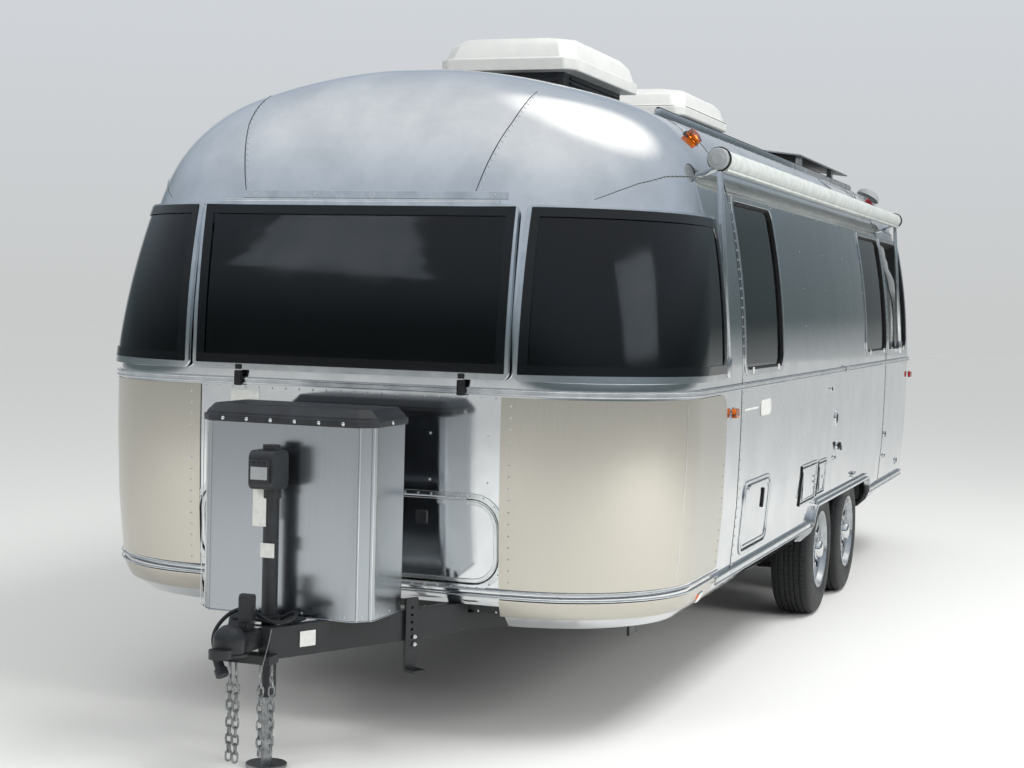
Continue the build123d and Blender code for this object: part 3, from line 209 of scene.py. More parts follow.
LAMPS = (                # name, place, aims at, size, power in watts
    ("lamp_over", (1.0, 5.0, 8.5), (1.0, 0.3, 1.6), (9.0, 3.0), 560),
    ("lamp_left", (4.0, 10.0, 5.0), (0.5, 0.8, 1.2), (5.0, 3.0), 400),
    ("lamp_front", (11.0, -4.5, 6.0), (3.0, -0.2, 1.2), (4.0, 3.0), 260),
)
for name, place, target, size, power in LAMPS:
    light = bpy.data.lights.new(name, "AREA")
    light.shape = "RECTANGLE"
    light.size, light.size_y = size
    light.energy = power
    lamp = bpy.data.objects.new(name, light)
    lamp.location = place
    lamp.rotation_euler = (Vector(target) - Vector(place)).to_track_quat("-Z", "Y").to_euler()
    lamp.visible_glossy = False
    bpy.context.scene.collection.objects.link(lamp)

view = bpy.context.scene.view_settings
view.view_transform = "Standard"


# %% [markdown]
# Every surface gets its own finish. Polished sheet is a near mirror that still carries haze, faint
# waves and wipe marks, so its roughness and its bump come from noise. Patterns are sized in
# millimetres of the real thing and read object coordinates, so nothing swims when a door opens.

# %% Finishes
materials = {}


def finish(name, colour, metallic=0.0, roughness=0.5, swing=0.08, grain_mm=120, bump_mm=0.0,
           bump_size_mm=40, stretch=(1, 1, 1), fleck=None, **sockets):
    """A material: roughness drifts over grain_mm, bumps are bump_mm deep, fleck is a second colour."""
    material = bpy.data.materials.new(name)
    material.use_nodes = True
    tree = material.node_tree
    shader = tree.nodes["Principled BSDF"]
    shader.inputs["Base Color"].default_value = linear(colour)
    shader.inputs["Metallic"].default_value = metallic
    for key, value in sockets.items():
        shader.inputs[key.replace("_", " ")].default_value = value
    place = add(tree, "ShaderNodeTexCoord")
    mapping = add(tree, "ShaderNodeMapping", {"Vector": place.outputs["Object"], "Scale": stretch})
    grain = add(tree, "ShaderNodeTexNoise", {"Vector": mapping.outputs["Vector"], "Scale": 1000 / grain_mm,
                                             "Detail": 6.0, "Roughness": 0.6})
    rough = add(tree, "ShaderNodeMapRange",
                {"Value": grain.outputs["Fac"], "From Min": 0.3, "From Max": 0.7,
                 "To Min": max(roughness - swing, 0.01), "To Max": roughness + swing})
    tree.links.new(rough.outputs["Result"], shader.inputs["Roughness"])
    if fleck:
        mix = add(tree, "ShaderNodeValToRGB", {"Fac": grain.outputs["Fac"]})
        set_ramp(mix, ((0.38, colour), (0.68, fleck)))
        tree.links.new(mix.outputs["Color"], shader.inputs["Base Color"])
    if bump_mm:
        waves = add(tree, "ShaderNodeTexNoise", {"Vector": mapping.outputs["Vector"],
                                                 "Scale": 1000 / bump_size_mm, "Detail": 3.0})
        bump = add(tree, "ShaderNodeBump", {"Height": waves.outputs["Fac"], "Distance": bump_mm / 1000,
                                            "Strength": 1.0})
        tree.links.new(bump.outputs["Normal"], shader.inputs["Normal"])
    materials[name] = material
    return material


# Polished sheet: a mirror with haze and long shallow waves between the rivets
polished = finish("polished_aluminium", "E4E6E8", 1.0, 0.085, 0.035, 260, 0.9, 420, fleck="D3D6D9")
# Sheet that is left less bright, on the roof
roof_sheet = finish("roof_aluminium", "D9DCDE", 1.0, 0.26, 0.06, 200, 0.5, 300, fleck="C9CDD0")
# Mouldings: satin anodised extrusions with fine lines along them
moulding = finish("anodised_moulding", "DADDDF", 1.0, 0.2, 0.05, 90, fleck="C4C8CB")
# Corner shields: brushed stainless, streaked upright
brushed = finish("brushed_stainless", "C4C0B7", 1.0, 0.2, 0.03, 4, stretch=(1, 1, 0.02), Anisotropic=0.5)
# The bottle cover: the same brushing on a cooler, darker sheet
cover_sheet = finish("brushed_cover_sheet", "A6ABB0", 1.0, 0.2, 0.03, 4, stretch=(1, 1, 0.02),
                     Anisotropic=0.5)
# Rivets: aluminium, duller than the sheet round them
rivet_metal = finish("rivet_aluminium", "DCDEDF", 1.0, 0.32, 0.05, 20)
# Bright plated steel, dulled by use: chains and hooks
bright_steel = finish("zinc_plated_steel", "A4A6A7", 1.0, 0.34, 0.08, 25, 0.05, 8, fleck="7E8182")
# Satin black paint over steel, dusty where it has been driven
black_steel = finish("satin_black_paint", "15171A", 0.0, 0.42, 0.12, 90, 0.12, 12, fleck="26282A")
# Moulded black plastic with a fine grain
black_plastic = finish("black_moulded_plastic", "1B1D20", 0.0, 0.46, 0.1, 60, 0.06, 1.6, fleck="2A2D31")
# Soft black rubber: gaskets, latches, seals
rubber = finish("black_rubber", "101113", 0.0, 0.62, 0.1, 40, 0.05, 3)
# Cast and machined alloy wheels
alloy = finish("cast_alloy", "C2C5C8", 1.0, 0.27, 0.08, 60, 0.03, 5, fleck="AEB2B6")
# White moulded plastic of the roof shrouds, chalked by weather
white_plastic = finish("white_moulded_plastic", "C9CAC7", 0.0, 0.5, 0.1, 90, 0.08, 3, fleck="CFD0CB")
# Grey bases and frames of moulded plastic
grey_plastic = finish("grey_moulded_plastic", "8D9193", 0.0, 0.5, 0.1, 60, 0.05, 3, fleck="9A9D9E")
# Vinyl awning cloth with its coarse weave
awning_cloth = finish("awning_vinyl", "BDC1BE", 0.0, 0.55, 0.08, 50, 0.25, 2.4, fleck="ACB0AD")
# Blank printed labels
label_film = finish("blank_label_film", "D0D1CC", 0.0, 0.35, 0.08, 20, fleck="C4C5C0")
# Underside board, painted dark and dirty
underside = finish("painted_underside", "2B2D2E", 0.0, 0.7, 0.1, 150, 0.4, 20, fleck="3A3936")
# Cable jacket
jacket = finish("cable_jacket_rubber", "17191B", 0.0, 0.5, 0.1, 30, 0.05, 4)
# Inside lining, off-white
lining = finish("cabin_lining", "C9C5BA", 0.0, 0.6, 0.08, 60, 0.1, 3, fleck="BDB8AC")
# Cloth of the bed and lounge, a woven grey-beige
cloth = finish("woven_upholstery", "8F8A80", 0.0, 0.85, 0.06, 30, 0.5, 2.2, fleck="A39D91")
# Oak-look cabinet board with its grain lengthways
wood = finish("oak_cabinet_board", "8A6B49", 0.0, 0.45, 0.08, 30, 0.05, 4, stretch=(0.12, 1, 1),
              fleck="A5845C")


def glass(name, colour, roughness, swing, rim, **sockets):
    """Clear or smoked glazing, with dust that shows as a drift in roughness."""
    return finish(name, colour, 0.0, roughness, swing, rim, IOR=1.46, Transmission_Weight=1.0, **sockets)


# Window glass: dark grey-green tint
tinted_glass = glass("tinted_window_glass", "46504E", 0.03, 0.02, 300)
# Smoked acrylic of the stone guards
smoked = glass("smoked_acrylic", "565D63", 0.05, 0.03, 200)
# Their blacked-out border, as glossy as the pane
pane_border = finish("black_acrylic_border", "0A0C0E", 0.0, 0.05, 0.03, 200)
# Lamp lenses, deep amber and red, ribbed inside
amber_lens = glass("amber_lens", "FF7A12", 0.12, 0.05, 30, bump_mm=0.4, bump_size_mm=6)
red_lens = glass("red_lens", "C4141C", 0.12, 0.05, 30, bump_mm=0.4, bump_size_mm=6)

# %% [markdown]
# The solar panels are dark cells under glass, with thin silver lines between them. The cells are a
# brick pattern of 156 mm squares on the object's coordinates.

# %% Solar cells
solar_cells = finish("solar_cells", "0E1830", 0.0, 0.12, 0.04, 80, Coat_Weight=1.0)
cell_tree = solar_cells.node_tree
cell_place = add(cell_tree, "ShaderNodeTexCoord")
cell_grid = add(cell_tree, "ShaderNodeTexBrick", {
    "Vector": cell_place.outputs["Object"], "Color1": linear("0E1830"), "Color2": linear("15203C"),
    "Mortar": linear("9AA2AC"), "Scale": 1.0, "Mortar Size": 0.0022,
    "Brick Width": 0.156, "Row Height": 0.156,
}, offset=0.0)
cell_tree.links.new(cell_grid.outputs["Color"], cell_tree.nodes["Principled BSDF"].inputs["Base Color"])
print(len(materials), "finishes")

# %% [markdown]
# The body is one smooth form. Its half width and the nose's set-back are given for each height by
# a few arcs, and the corners are round in plan. The same sizes drew the solids. Here they place
# rivets, mouldings and frames on the skin, and give the skin its exact directions.

# %% The body's form
NOSE_X, TAIL_X, HALF_W, BELT_Z, ROOF_Z = 3.235, -4.015, 1.290, 1.385, 2.700
SIDE_LEAN_R, SIDE_TURN_Z, EAVE_R = 3.5, 2.2, 0.5
END_LEAN_R, END_CROWN_R = 3.2, 0.72
PLAN_RATIO, PLAN_RATIO_GAIN, PLAN_LIMIT = 0.45, 0.25, 0.72
TUCK = ((0.445, 0.118), (0.455, 0.107), (0.505, 0.053), (0.560, 0.030), (0.850, 0.008), (1.150, 0.0))
MID_X = (NOSE_X + TAIL_X) / 2
SEAM_F, SEAM_R, EAVE_SEAM_Z = 1.905, -2.430, 2.330

SIDE_ANGLE = math.asin((SIDE_TURN_Z - BELT_Z) / SIDE_LEAN_R)
EAVE_Y = HALF_W - SIDE_LEAN_R * (1 - math.cos(SIDE_ANGLE)) - EAVE_R * math.cos(SIDE_ANGLE)
EAVE_Z = SIDE_TURN_Z - EAVE_R * math.sin(SIDE_ANGLE)
EAVE_DROP = ROOF_Z - EAVE_Z
ROOF_R = (EAVE_Y ** 2 + EAVE_DROP ** 2 - EAVE_R ** 2) / (2 * (EAVE_DROP - EAVE_R))
EAVE_ANGLE = math.atan2(ROOF_R - EAVE_DROP, EAVE_Y)
END_ANGLE = math.asin((ROOF_Z - END_CROWN_R - BELT_Z) / (END_LEAN_R - END_CROWN_R))
CROWN_IN = END_LEAN_R * (1 - math.cos(END_ANGLE)) + END_CROWN_R * math.cos(END_ANGLE)
CROWN_Z = ROOF_Z - END_CROWN_R


def tuck(z):
    """How far the wall is tucked in at a height."""
    for (low, low_in), (high, high_in) in zip(TUCK, TUCK[1:]):
        if z <= high:
            return low_in + (high_in - low_in) * (max(z, low) - low) / (high - low)
    return 0.0


def half_width(z):
    """The body's half width at a height."""
    if z <= BELT_Z:
        return HALF_W - tuck(z)
    if z <= BELT_Z + SIDE_LEAN_R * math.sin(SIDE_ANGLE):
        return HALF_W - SIDE_LEAN_R + math.sqrt(SIDE_LEAN_R ** 2 - (z - BELT_Z) ** 2)
    if z <= EAVE_Z + EAVE_R * math.sin(EAVE_ANGLE):
        return EAVE_Y + math.sqrt(EAVE_R ** 2 - (z - EAVE_Z) ** 2)
    return math.sqrt(max(ROOF_R ** 2 - (z - ROOF_Z + ROOF_R) ** 2, 0))


def end_in(z):
    """How far the end wall is set back from the nose plane at a height."""
    if z <= BELT_Z:
        return tuck(z)
    if z <= BELT_Z + END_LEAN_R * math.sin(END_ANGLE):
        return END_LEAN_R - math.sqrt(END_LEAN_R ** 2 - (z - BELT_Z) ** 2)
    return CROWN_IN - math.sqrt(max(END_CROWN_R ** 2 - (z - CROWN_Z) ** 2, 0))


def corner(z):
    """The nose corner's plan arc at a height: centre x, centre y, radius."""
    w = half_width(z)
    r = min((PLAN_RATIO + PLAN_RATIO_GAIN * max(0, (z - BELT_Z) / (ROOF_Z - BELT_Z))) * w, PLAN_LIMIT * w)
    return NOSE_X - end_in(z) - r, w - r, r


def depth_inside(x, y, z):
    """How deep a point lies inside the skin, sideways."""
    x = 2 * MID_X - x if x < MID_X else x
    y = abs(y)
    cx, cy, r = corner(min(z, ROOF_Z - 0.0005))
    if x > cx and y > cy:
        return r - math.hypot(x - cx, y - cy)
    return min(cy + r - y, cx + r - x)


def skin_normal(p, step=0.0015):
    """The skin's outward direction near a point."""
    grad = [depth_inside(*(p[j] + (step if i == j else 0) for j in range(3)))
            - depth_inside(*(p[j] - (step if i == j else 0) for j in range(3))) for i in range(3)]
    normal = -Vector(grad)
    return normal.normalized() if normal.length > 1e-9 else Vector((0, 0, 1))


def on_skin(z, x=None, y=None, off=0.0):
    """A point of the nose half's left skin at a height and one more coordinate, so far off the skin."""
    cx, cy, r = corner(z)
    if x is None:
        x = cx + (r if abs(y) <= cy else math.sqrt(max(r * r - (abs(y) - cy) ** 2, 0)))
    elif y is None:
        y = cy + (r if x <= cx else math.sqrt(max(r * r - (x - cx) ** 2, 0)))
    point = Vector((x, y, z))
    return point + skin_normal(point) * off if off else point


def mirrored(points, side=1, end=1):
    """Points moved to the other side (side -1) or turned round to the tail (end -1)."""
    return [Vector((p[0] if end > 0 else 2 * MID_X - p[0], side * p[1], p[2])) for p in points]


def resample(points, spacing, ends=True):
    """Points at an even spacing along a path."""
    points = [Vector(p) for p in points]
    lengths = [(b - a).length for a, b in zip(points, points[1:])]
    total = sum(lengths)
    count = max(1, round(total / spacing))
    marks = [total * (i + (0 if ends else 0.5)) / count for i in range(count + (1 if ends else 0))]
    found = []
    for mark in marks:
        for a, b, length in zip(points, points[1:], lengths):
            if mark <= length + 1e-9 or b is points[-1]:
                found.append(a.lerp(b, min(mark / max(length, 1e-9), 1)))
                break
            mark -= length
    return found


def girth(x, z_low=0.46, step=0.02):
    """The section over the body at one x: from the left foot over the roof to the right foot."""
    left = []
    z = z_low
    while z < 2.45:
        left.append(Vector((x, half_width(z), z)))
        z += step
    y = half_width(z)
    while y > 0.001:
        left.append(Vector((x, y, ROOF_Z - ROOF_R + math.sqrt(ROOF_R ** 2 - y * y))))
        y -= step
    return left + [Vector((x, 0, ROOF_Z))] + [Vector((p.x, -p.y, p.z)) for p in reversed(left)]


def outline(z, x_back=MID_X, off=0.0, y_end=0.0):
    """Half of the nose end's outline at a height, from the left side at x_back to the nose at y_end."""
    cx, cy, r = corner(z)
    r_out = r + off
    points = [Vector((x_back + (cx - x_back) * i / 8, cy + r_out, z))
              for i in range(8)] if x_back < cx else []
    for i in range(25):
        turn = math.pi / 2 * i / 24
        point = Vector((cx + r_out * math.sin(turn), cy + r_out * math.cos(turn), z))
        if point.x >= x_back and point.y >= y_end:
            points.append(point)
    if y_end < cy:
        points += [Vector((cx + r_out, cy + (y_end - cy) * i / 6, z)) for i in range(1, 7)]
    return points


print("half width at the belt", HALF_W, "corner", [round(v, 3) for v in corner(BELT_Z)])

# %% [markdown]
# A sheet-metal skin is real only if its reflections flow. The solids' facets would break them, so
# each skin is copied and every corner of its facets is given the form's own direction. Facets
# that don't lie along the skin, such as cut edges, keep their own direction.

# %% Skins
def clean_mesh(node):
    """A copy of a solid's facets with doubled points merged."""
    bm = bmesh.new()
    bm.from_mesh(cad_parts[node].data)
    bmesh.ops.remove_doubles(bm, verts=bm.verts, dist=2e-5)
    return bm


def show(name, bm, body, finishes, replaced=()):
    """Makes a piece of a mesh: named, carried by its body, with its finishes."""
    data = bpy.data.meshes.new(name)
    bm.to_mesh(data)
    bm.free()
    for item in finishes:
        data.materials.append(item)
    piece = bpy.data.objects.new(name, data)
    bpy.context.scene.collection.objects.link(piece)
    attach(piece, body)
    if replaced:
        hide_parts(*replaced)
    return piece


SKIN_TURN = 0.94         # cosine under which a facet doesn't count as lying along the skin


def skin_piece(node, body, finishes, pick=None):
    """Replaces a solid by its skin copy. pick gives a facet's finish from its centre, normal and side."""
    bm = clean_mesh(node)
    cache = {}
    normals = []
    for face in bm.faces:
        face.smooth = True
        found = []
        for vert in face.verts:
            if vert.index not in cache:
                cache[vert.index] = skin_normal(vert.co)
            found.append(cache[vert.index])
        along = [face.normal.dot(n) for n in found]
        side = 1 if min(along) > SKIN_TURN else -1 if max(along) < -SKIN_TURN else 0
        normals += [n * side if side else face.normal.copy() for n in found]
        if pick:
            face.material_index = pick(face.calc_center_median(), face.normal, side)
    piece = show(node + "_skin", bm, body, finishes, [node])
    piece.data.normals_split_custom_set(normals)
    return piece


def inner_side(centre, normal, side):
    """1 for facets on the inside of the skin."""
    return 1 if side < 0 else 0


for node in ("front_cap", "rear_cap", "wall_left", "wall_right", "front_wall", "rear_wall"):
    skin_piece(node, "caravan", [polished, lining], inner_side)
skin_piece("roof_panel", "caravan", [roof_sheet, lining], inner_side)
for node, body in (("entry_door", "door"), ("front_hatch", "hatch_front"), ("side_hatch", "hatch_side"),
                   ("service_door_front", "service_front"), ("service_door_rear", "service_rear")):
    skin_piece(node, body, [polished, lining], inner_side)
skin_piece("corner_shields", "caravan", [brushed])
skin_piece("end_glass", "caravan", [tinted_glass])
skin_piece("side_glass", "caravan", [tinted_glass])
skin_piece("door_glass", "door", [tinted_glass])
GUARD_PANE = (0.014, 0.020)          # how far the smoked pane's faces stand off the skin


def guard_part(centre, normal, side):
    """0 for the bright frame, 1 for the smoked pane between."""
    off = -depth_inside(*centre) * abs(skin_normal(centre).to_2d().length)
    near_pane = min(abs(off - level) for level in GUARD_PANE) < 0.0012
    return 1 if side and near_pane else 0


skin_piece("front_guard", "stone_guard", [moulding, smoked], guard_part)
skin_piece("corner_guards", "caravan", [moulding, smoked], guard_part)
print("skins done")

# %% [markdown]
# Cast, pressed and welded parts have small soft edges that catch the light. Their solids are
# copied with flat facets joined again, and each edge gets a narrow rounding.

# %% Softened solids
SMOOTH_ANGLE = math.radians(32)


def shaded(bm):
    """Smooth shading, with a hard edge wherever two faces meet at a clear angle."""
    for face in bm.faces:
        face.smooth = True
    for edge in bm.edges:
        edge.smooth = len(edge.link_faces) == 2 and edge.calc_face_angle(0) < SMOOTH_ANGLE
    return bm


def edged(piece, width, segments=2):
    """A narrow rounding along a piece's hard edges."""
    bevel = piece.modifiers.new("soft_edges", "BEVEL")
    bevel.width = width
    bevel.segments = segments
    bevel.limit_method = "ANGLE"
    bevel.angle_limit = SMOOTH_ANGLE
    return piece


def softened(node, body, finishes, width=0.002, pick=None, segments=2):
    """Replaces a solid by a copy with its edges slightly rounded."""
    bm = clean_mesh(node)
    if pick:
        for face in bm.faces:
            face.material_index = pick(face.calc_center_median(), face.normal)
    bmesh.ops.dissolve_limit(bm, angle_limit=math.radians(0.6), verts=bm.verts, edges=bm.edges,
                             delimit={"MATERIAL"})
    piece = show(node + "_finish", shaded(bm), body, finishes, [node])
    return edged(piece, width, segments) if width else piece


softened("bottle_cover", "caravan", [cover_sheet], 0)
softened("cover_lid", "caravan", [black_plastic], 0.006, segments=3)
softened("chassis_frame", "caravan", [black_steel], 0.0015)
softened("coupler", "caravan", [black_steel], 0.003)
softened("axles", "caravan", [black_steel], 0.002)
softened("rear_bumper", "caravan", [moulding], 0.003)
softened("plate_carrier", "caravan", [black_plastic], 0.0008)
softened("hitch_brackets", "caravan", [black_steel], 0.0012)
softened("entry_step", "caravan", [black_steel], 0.001)
softened("jack_leg", "jack_foot", [bright_steel], 0.001)
softened("cable_plug", "caravan", [black_plastic], 0.002)
# Cells on top, bright frame at the sides, black plastic underneath: painted shade under the panel
softened("solar_panel", "caravan", [solar_cells, moulding, black_plastic], 0.001,
         lambda centre, normal: 0 if normal.z > 0.9 else 1 if abs(normal.z) < 0.9 else 2)
softened("roof_vents", "caravan", [white_plastic], 0.006)
# Each shroud's base, below 2.80 m, is black plastic: painted shade under the shroud's rim
for unit in ("roof_unit_front", "roof_unit_rear"):
    softened(unit, "caravan", [white_plastic, black_plastic], 0.02,
             lambda centre, normal: 1 if centre.z < 2.80 else 0, 3)
for corner_name in ("front_left", "front_right", "rear_left", "rear_right"):
    softened("stabiliser_" + corner_name, "stand_" + corner_name, [black_steel], 0.0012)
softened("belt_trim", "caravan", [moulding], 0)
softened("foot_trim", "caravan", [moulding], 0)
softened("lamps_amber", "caravan", [amber_lens], 0.003)
softened("lamps_red", "caravan", [red_lens], 0.003)
for node, item in (("floor_pan", underside), ("galley_cabinet", wood)):
    softened(node, "caravan", [item], 0.004)
print("softened solids done")


# %% [markdown]
# Rivets hold the shell together, so they follow every seam. Each is a low dome, about 8 mm across.
# One dome is made, then repeated as arrays of points along the seams, set square to the skin.

# %% Rivets
def dome(radius, height, sides=8, rings=3):
    """A low dome's points and faces: the upper half of a flattened sphere, open underneath."""
    bm = bmesh.new()
    bmesh.ops.create_uvsphere(bm, u_segments=sides, v_segments=rings * 2, radius=1)
    bmesh.ops.bisect_plane(bm, geom=bm.verts[:] + bm.edges[:] + bm.faces[:], plane_co=(0, 0, 0),
                           plane_no=(0, 0, -1), clear_outer=True)
    bmesh.ops.scale(bm, vec=(radius, radius, height), verts=bm.verts)
    return bm


def repeated(name, pattern, places, body, finishes):
    """Joins copies of a small mesh, one for each (point, outward direction) or whole matrix."""
    bm = pattern
    bm.verts.ensure_lookup_table()
    points = numpy.array([v.co for v in bm.verts])
    faces = [[v.index for v in f.verts] for f in bm.faces]
    bm.free()
    all_points, all_faces = [], []
    for place in places:
        if not isinstance(place, Matrix):
            point, out = place
            place = Matrix.Translation(point) @ out.to_track_quat("Z", "X").to_matrix().to_4x4()
        start = len(points) * len(all_points)
        turn = numpy.array(place.to_3x3())
        all_points.append(points @ turn.T + numpy.array(place.translation))
        all_faces += [[i + start for i in face] for face in faces]
    data = bpy.data.meshes.new(name)
    data.from_pydata(numpy.concatenate(all_points).tolist(), [], all_faces)
    data.shade_smooth()
    for item in finishes:
        data.materials.append(item)
    piece = bpy.data.objects.new(name, data)
    bpy.context.scene.collection.objects.link(piece)
    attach(piece, body)
    return piece


def row(points, spacing, ends=False):
    """Rivet places along a path on the skin, each with the skin's own direction."""
    return [(p, skin_normal(p)) for p in resample(points, spacing, ends)]


RIVET_R, RIVET_H = 0.0050, 0.0022
SMALL_RIVET_R, SMALL_RIVET_H = 0.0038, 0.0015
seams, fine = [], []
for x in (SEAM_F, SEAM_R):
    for shift in (-0.013, 0.013):
        seams += row(girth(x + shift), 0.042)
for side in (1, -1):
    for shift in (-0.012, 0.012):
        z = EAVE_SEAM_Z + shift
        seams += row([(SEAM_R, side * half_width(z), z), (SEAM_F, side * half_width(z), z)], 0.045)
RIB_X = (-1.93, -1.43, -0.93, -0.43, 0.07, 0.57, 1.07, 1.57)         # roof ribs under the sheet
for x in RIB_X:
    rib = [p for p in girth(x) if p.z > EAVE_SEAM_Z + 0.02]
    fine += row(rib, 0.075)
POST_X = (1.000, 0.430, -0.220, -0.870, -1.500)                      # wall posts behind the sheet
for x in POST_X:
    for side in (1, -1):
        if side < 0 and 0.3 < x < 1.1:
            continue
        post = [(x, side * half_width(z), z) for z in (0.95, 1.15, 1.385, 1.6, 1.8, 2.0, 2.2, 2.29)]
        fine += row(post, 0.19)

# The nose's upper panels: a middle sheet between two leaning seams, and an arc over each corner
def on_curve(marks, step, place):
    """Places on the skin at an even step between marked ones, so that a path follows its curve."""
    flat = resample([Vector((*mark, 0)) for mark in marks], step)
    return [place(mark.x, mark.y) for mark in flat]


NOSE_SEAM = ((0.500, 2.140), (0.530, 2.250), (0.560, 2.350), (0.586, 2.430), (0.598, 2.500), (0.604, 2.565))
CORNER_SEAM = ((3.001, 2.118), (2.918, 2.158), (2.835, 2.191), (2.677, 2.232), (2.520, 2.243),
               (2.363, 2.248),
               (2.205, 2.254), (2.048, 2.258))
nose_seam = on_curve(NOSE_SEAM, 0.03, lambda y, z: on_skin(z, y=y))
corner_seam = on_curve(CORNER_SEAM, 0.03, lambda x, z: on_skin(z, x=x))
low_seam = [on_skin(2.120, y=y) for y in (0.0, 0.25, 0.50)]
end_seams = []
for end in (1, -1):
    for side in (1, -1):
        end_seams += [mirrored(path, side, end) for path in (nose_seam, corner_seam, low_seam)]
for path in end_seams:
    seams += row(path, 0.030)

# Lower walls: under the belt, over the foot moulding, and along the skirt
for end in (1, -1):
    for side in (1, -1):
        for z, spacing, x_back in ((1.345, 0.060, 2.36), (0.515, 0.075, 2.33)):
            seams += row(mirrored(outline(z, x_back), side, end), spacing)
for side in (1, -1):
    for z, spacing in ((1.345, 0.120), (0.520, 0.120)):
        for start, stop in ((SEAM_R, -1.98 if z < 0.7 else -0.95), (0.10 if z < 0.7 else -0.95, SEAM_F)):
            if side < 0:
                continue
            fine += row([(start, half_width(z), z), (stop, half_width(z), z)], spacing)

# Stone shields: their own rivets along each edge
SHIELD_EDGE_Y, SHIELD_EDGE_X, SHIELD_OFF = 0.690, 2.257, 0.0072
shield_edge = [on_skin(z, y=SHIELD_EDGE_Y, off=SHIELD_OFF) for z in (0.64, 0.85, 1.05, 1.32)]
shield_back = [on_skin(z, x=SHIELD_EDGE_X, off=SHIELD_OFF) for z in (0.64, 0.85, 1.05, 1.32)]
for side in (1, -1):
    for path in (shield_edge, shield_back):
        seams += [(p, skin_normal(p)) for p in resample(mirrored(path, side), 0.045)]
print(len(seams), "seam rivets,", len(fine), "field rivets")
repeated("seam_rivets", dome(RIVET_R, RIVET_H), seams, "caravan", [rivet_metal])
repeated("field_rivets", dome(SMALL_RIVET_R, SMALL_RIVET_H), fine, "caravan",
         [rivet_metal])

# %% [markdown]
# Where sheets lap, the upper one's edge shows as a fine raised line, and a seam rail covers some
# joints. A thin round bead half sunk in the skin catches the light in the same way. At the laps
# the bead is coloured dark, which is painted shade along the sheet's edge.

# %% Seam lines
def bead(name, paths, radius, body, item, closed=False, sides=1):
    """Round beads along paths, joined in one piece."""
    data = bpy.data.curves.new(name, "CURVE")
    data.dimensions = "3D"
    data.bevel_depth = radius
    data.bevel_resolution = sides
    data.use_fill_caps = True
    for path in paths:
        spline = data.splines.new("POLY")
        spline.points.add(len(path) - 1)
        for point, place in zip(spline.points, path):
            point.co = (*place, 1)
        spline.use_cyclic_u = closed
    data.materials.append(item)
    piece = bpy.data.objects.new(name, data)
    bpy.context.scene.collection.objects.link(piece)
    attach(piece, body)
    return piece


LAP_ASIDE, LAP_R = 0.024, 0.0018        # from a seam's rivets to the sheet's edge; the bead's radius
END_LAP_ASIDE, END_LAP_OUT = 0.012, 0.0008
laps = [girth(x + LAP_ASIDE) for x in (SEAM_F, SEAM_R)]
for side in (1, -1):
    z = EAVE_SEAM_Z - LAP_ASIDE
    laps.append([(SEAM_R, side * half_width(z), z), (SEAM_F, side * half_width(z), z)])
for path in end_seams:
    aside = [p + skin_normal(p).cross(Vector((0, 0, 1))).normalized() * END_LAP_ASIDE for p in path]
    laps.append([p + skin_normal(p) * END_LAP_OUT for p in aside])
# Painted shade along a lapped sheet's edge: a dull dark line of aluminium
lap_shade_line = finish("painted_lap_shade", "5F6467", 1.0, 0.45, 0.08, 15)
bead("sheet_laps", laps, LAP_R, "caravan", lap_shade_line)

# Belt and foot mouldings: each carries two raised ribs, so a shaded hollow lies between them
BELT_RIBS = (1.3625, 1.3795)
NOSE_RIBS = (0.5775, 0.6025)
FOOT_RIBS = (0.5395, 0.5645)
BELT_OFF, FOOT_OFF = 0.0120, 0.0110
NOSE_TRIM_X = 2.228
ARCH_X, ARCH_BAND = (-1.905, 0.005), 0.032       # the wheel opening and its moulding
DOOR_X = (0.345, 1.055)                          # the mouldings stop for the entry door
DOOR_BELT_X, DOOR_AFT_X = 1.052, 0.050
RIB_R = 0.0042
ribs = []
for z in BELT_RIBS:
    for end in (1, -1):
        for side in (1, -1):
            path = outline(BELT_Z, MID_X if side > 0 or end < 0 else DOOR_BELT_X, BELT_OFF)
            ribs.append([Vector((p.x, p.y, z)) for p in mirrored(path, side, end)])
for z in NOSE_RIBS:
    for side in (1, -1):
        ribs.append([Vector((p.x, p.y, z)) for p in mirrored(outline(0.608, NOSE_TRIM_X, FOOT_OFF), side)])
for z in FOOT_RIBS:
    for side in (1, -1):
        tail = outline(0.570, 2 * MID_X - ARCH_X[0] + ARCH_BAND, FOOT_OFF)
        ribs.append([Vector((p.x, p.y, z)) for p in mirrored(tail, side, -1)])
        y = side * (half_width(0.570) + FOOT_OFF)
        spans = [(ARCH_X[1] + ARCH_BAND, NOSE_TRIM_X)]
        if side < 0:
            spans = [(DOOR_AFT_X, DOOR_X[0]), (DOOR_X[1], NOSE_TRIM_X)]
        ribs += [[Vector((start, y, z)), Vector((stop, y, z))] for start, stop in spans]
bead("moulding_ribs", ribs, RIB_R, "caravan", moulding)
print(len(ribs), "ribs")

# %% [markdown]
# Window frames, gaskets, hatch frames and labels all lie on the curved skin. Each starts as a flat
# rounded plate. It is sliced so that it can bend, thickened, and its points are then laid on the
# skin at their height.

# %% Plates on the skin
def flank_place(u, v, off):
    """On the left side wall: u is x and v is z."""
    return Vector((u, half_width(v) + off, v))


def nose_place(u, v, off):
    """On the nose or its round corners: u is y and v is z."""
    return on_skin(v, y=u) + Vector((off, 0, 0))


ON_SKIN = 0.0003                                 # frames and plates start this far off the skin


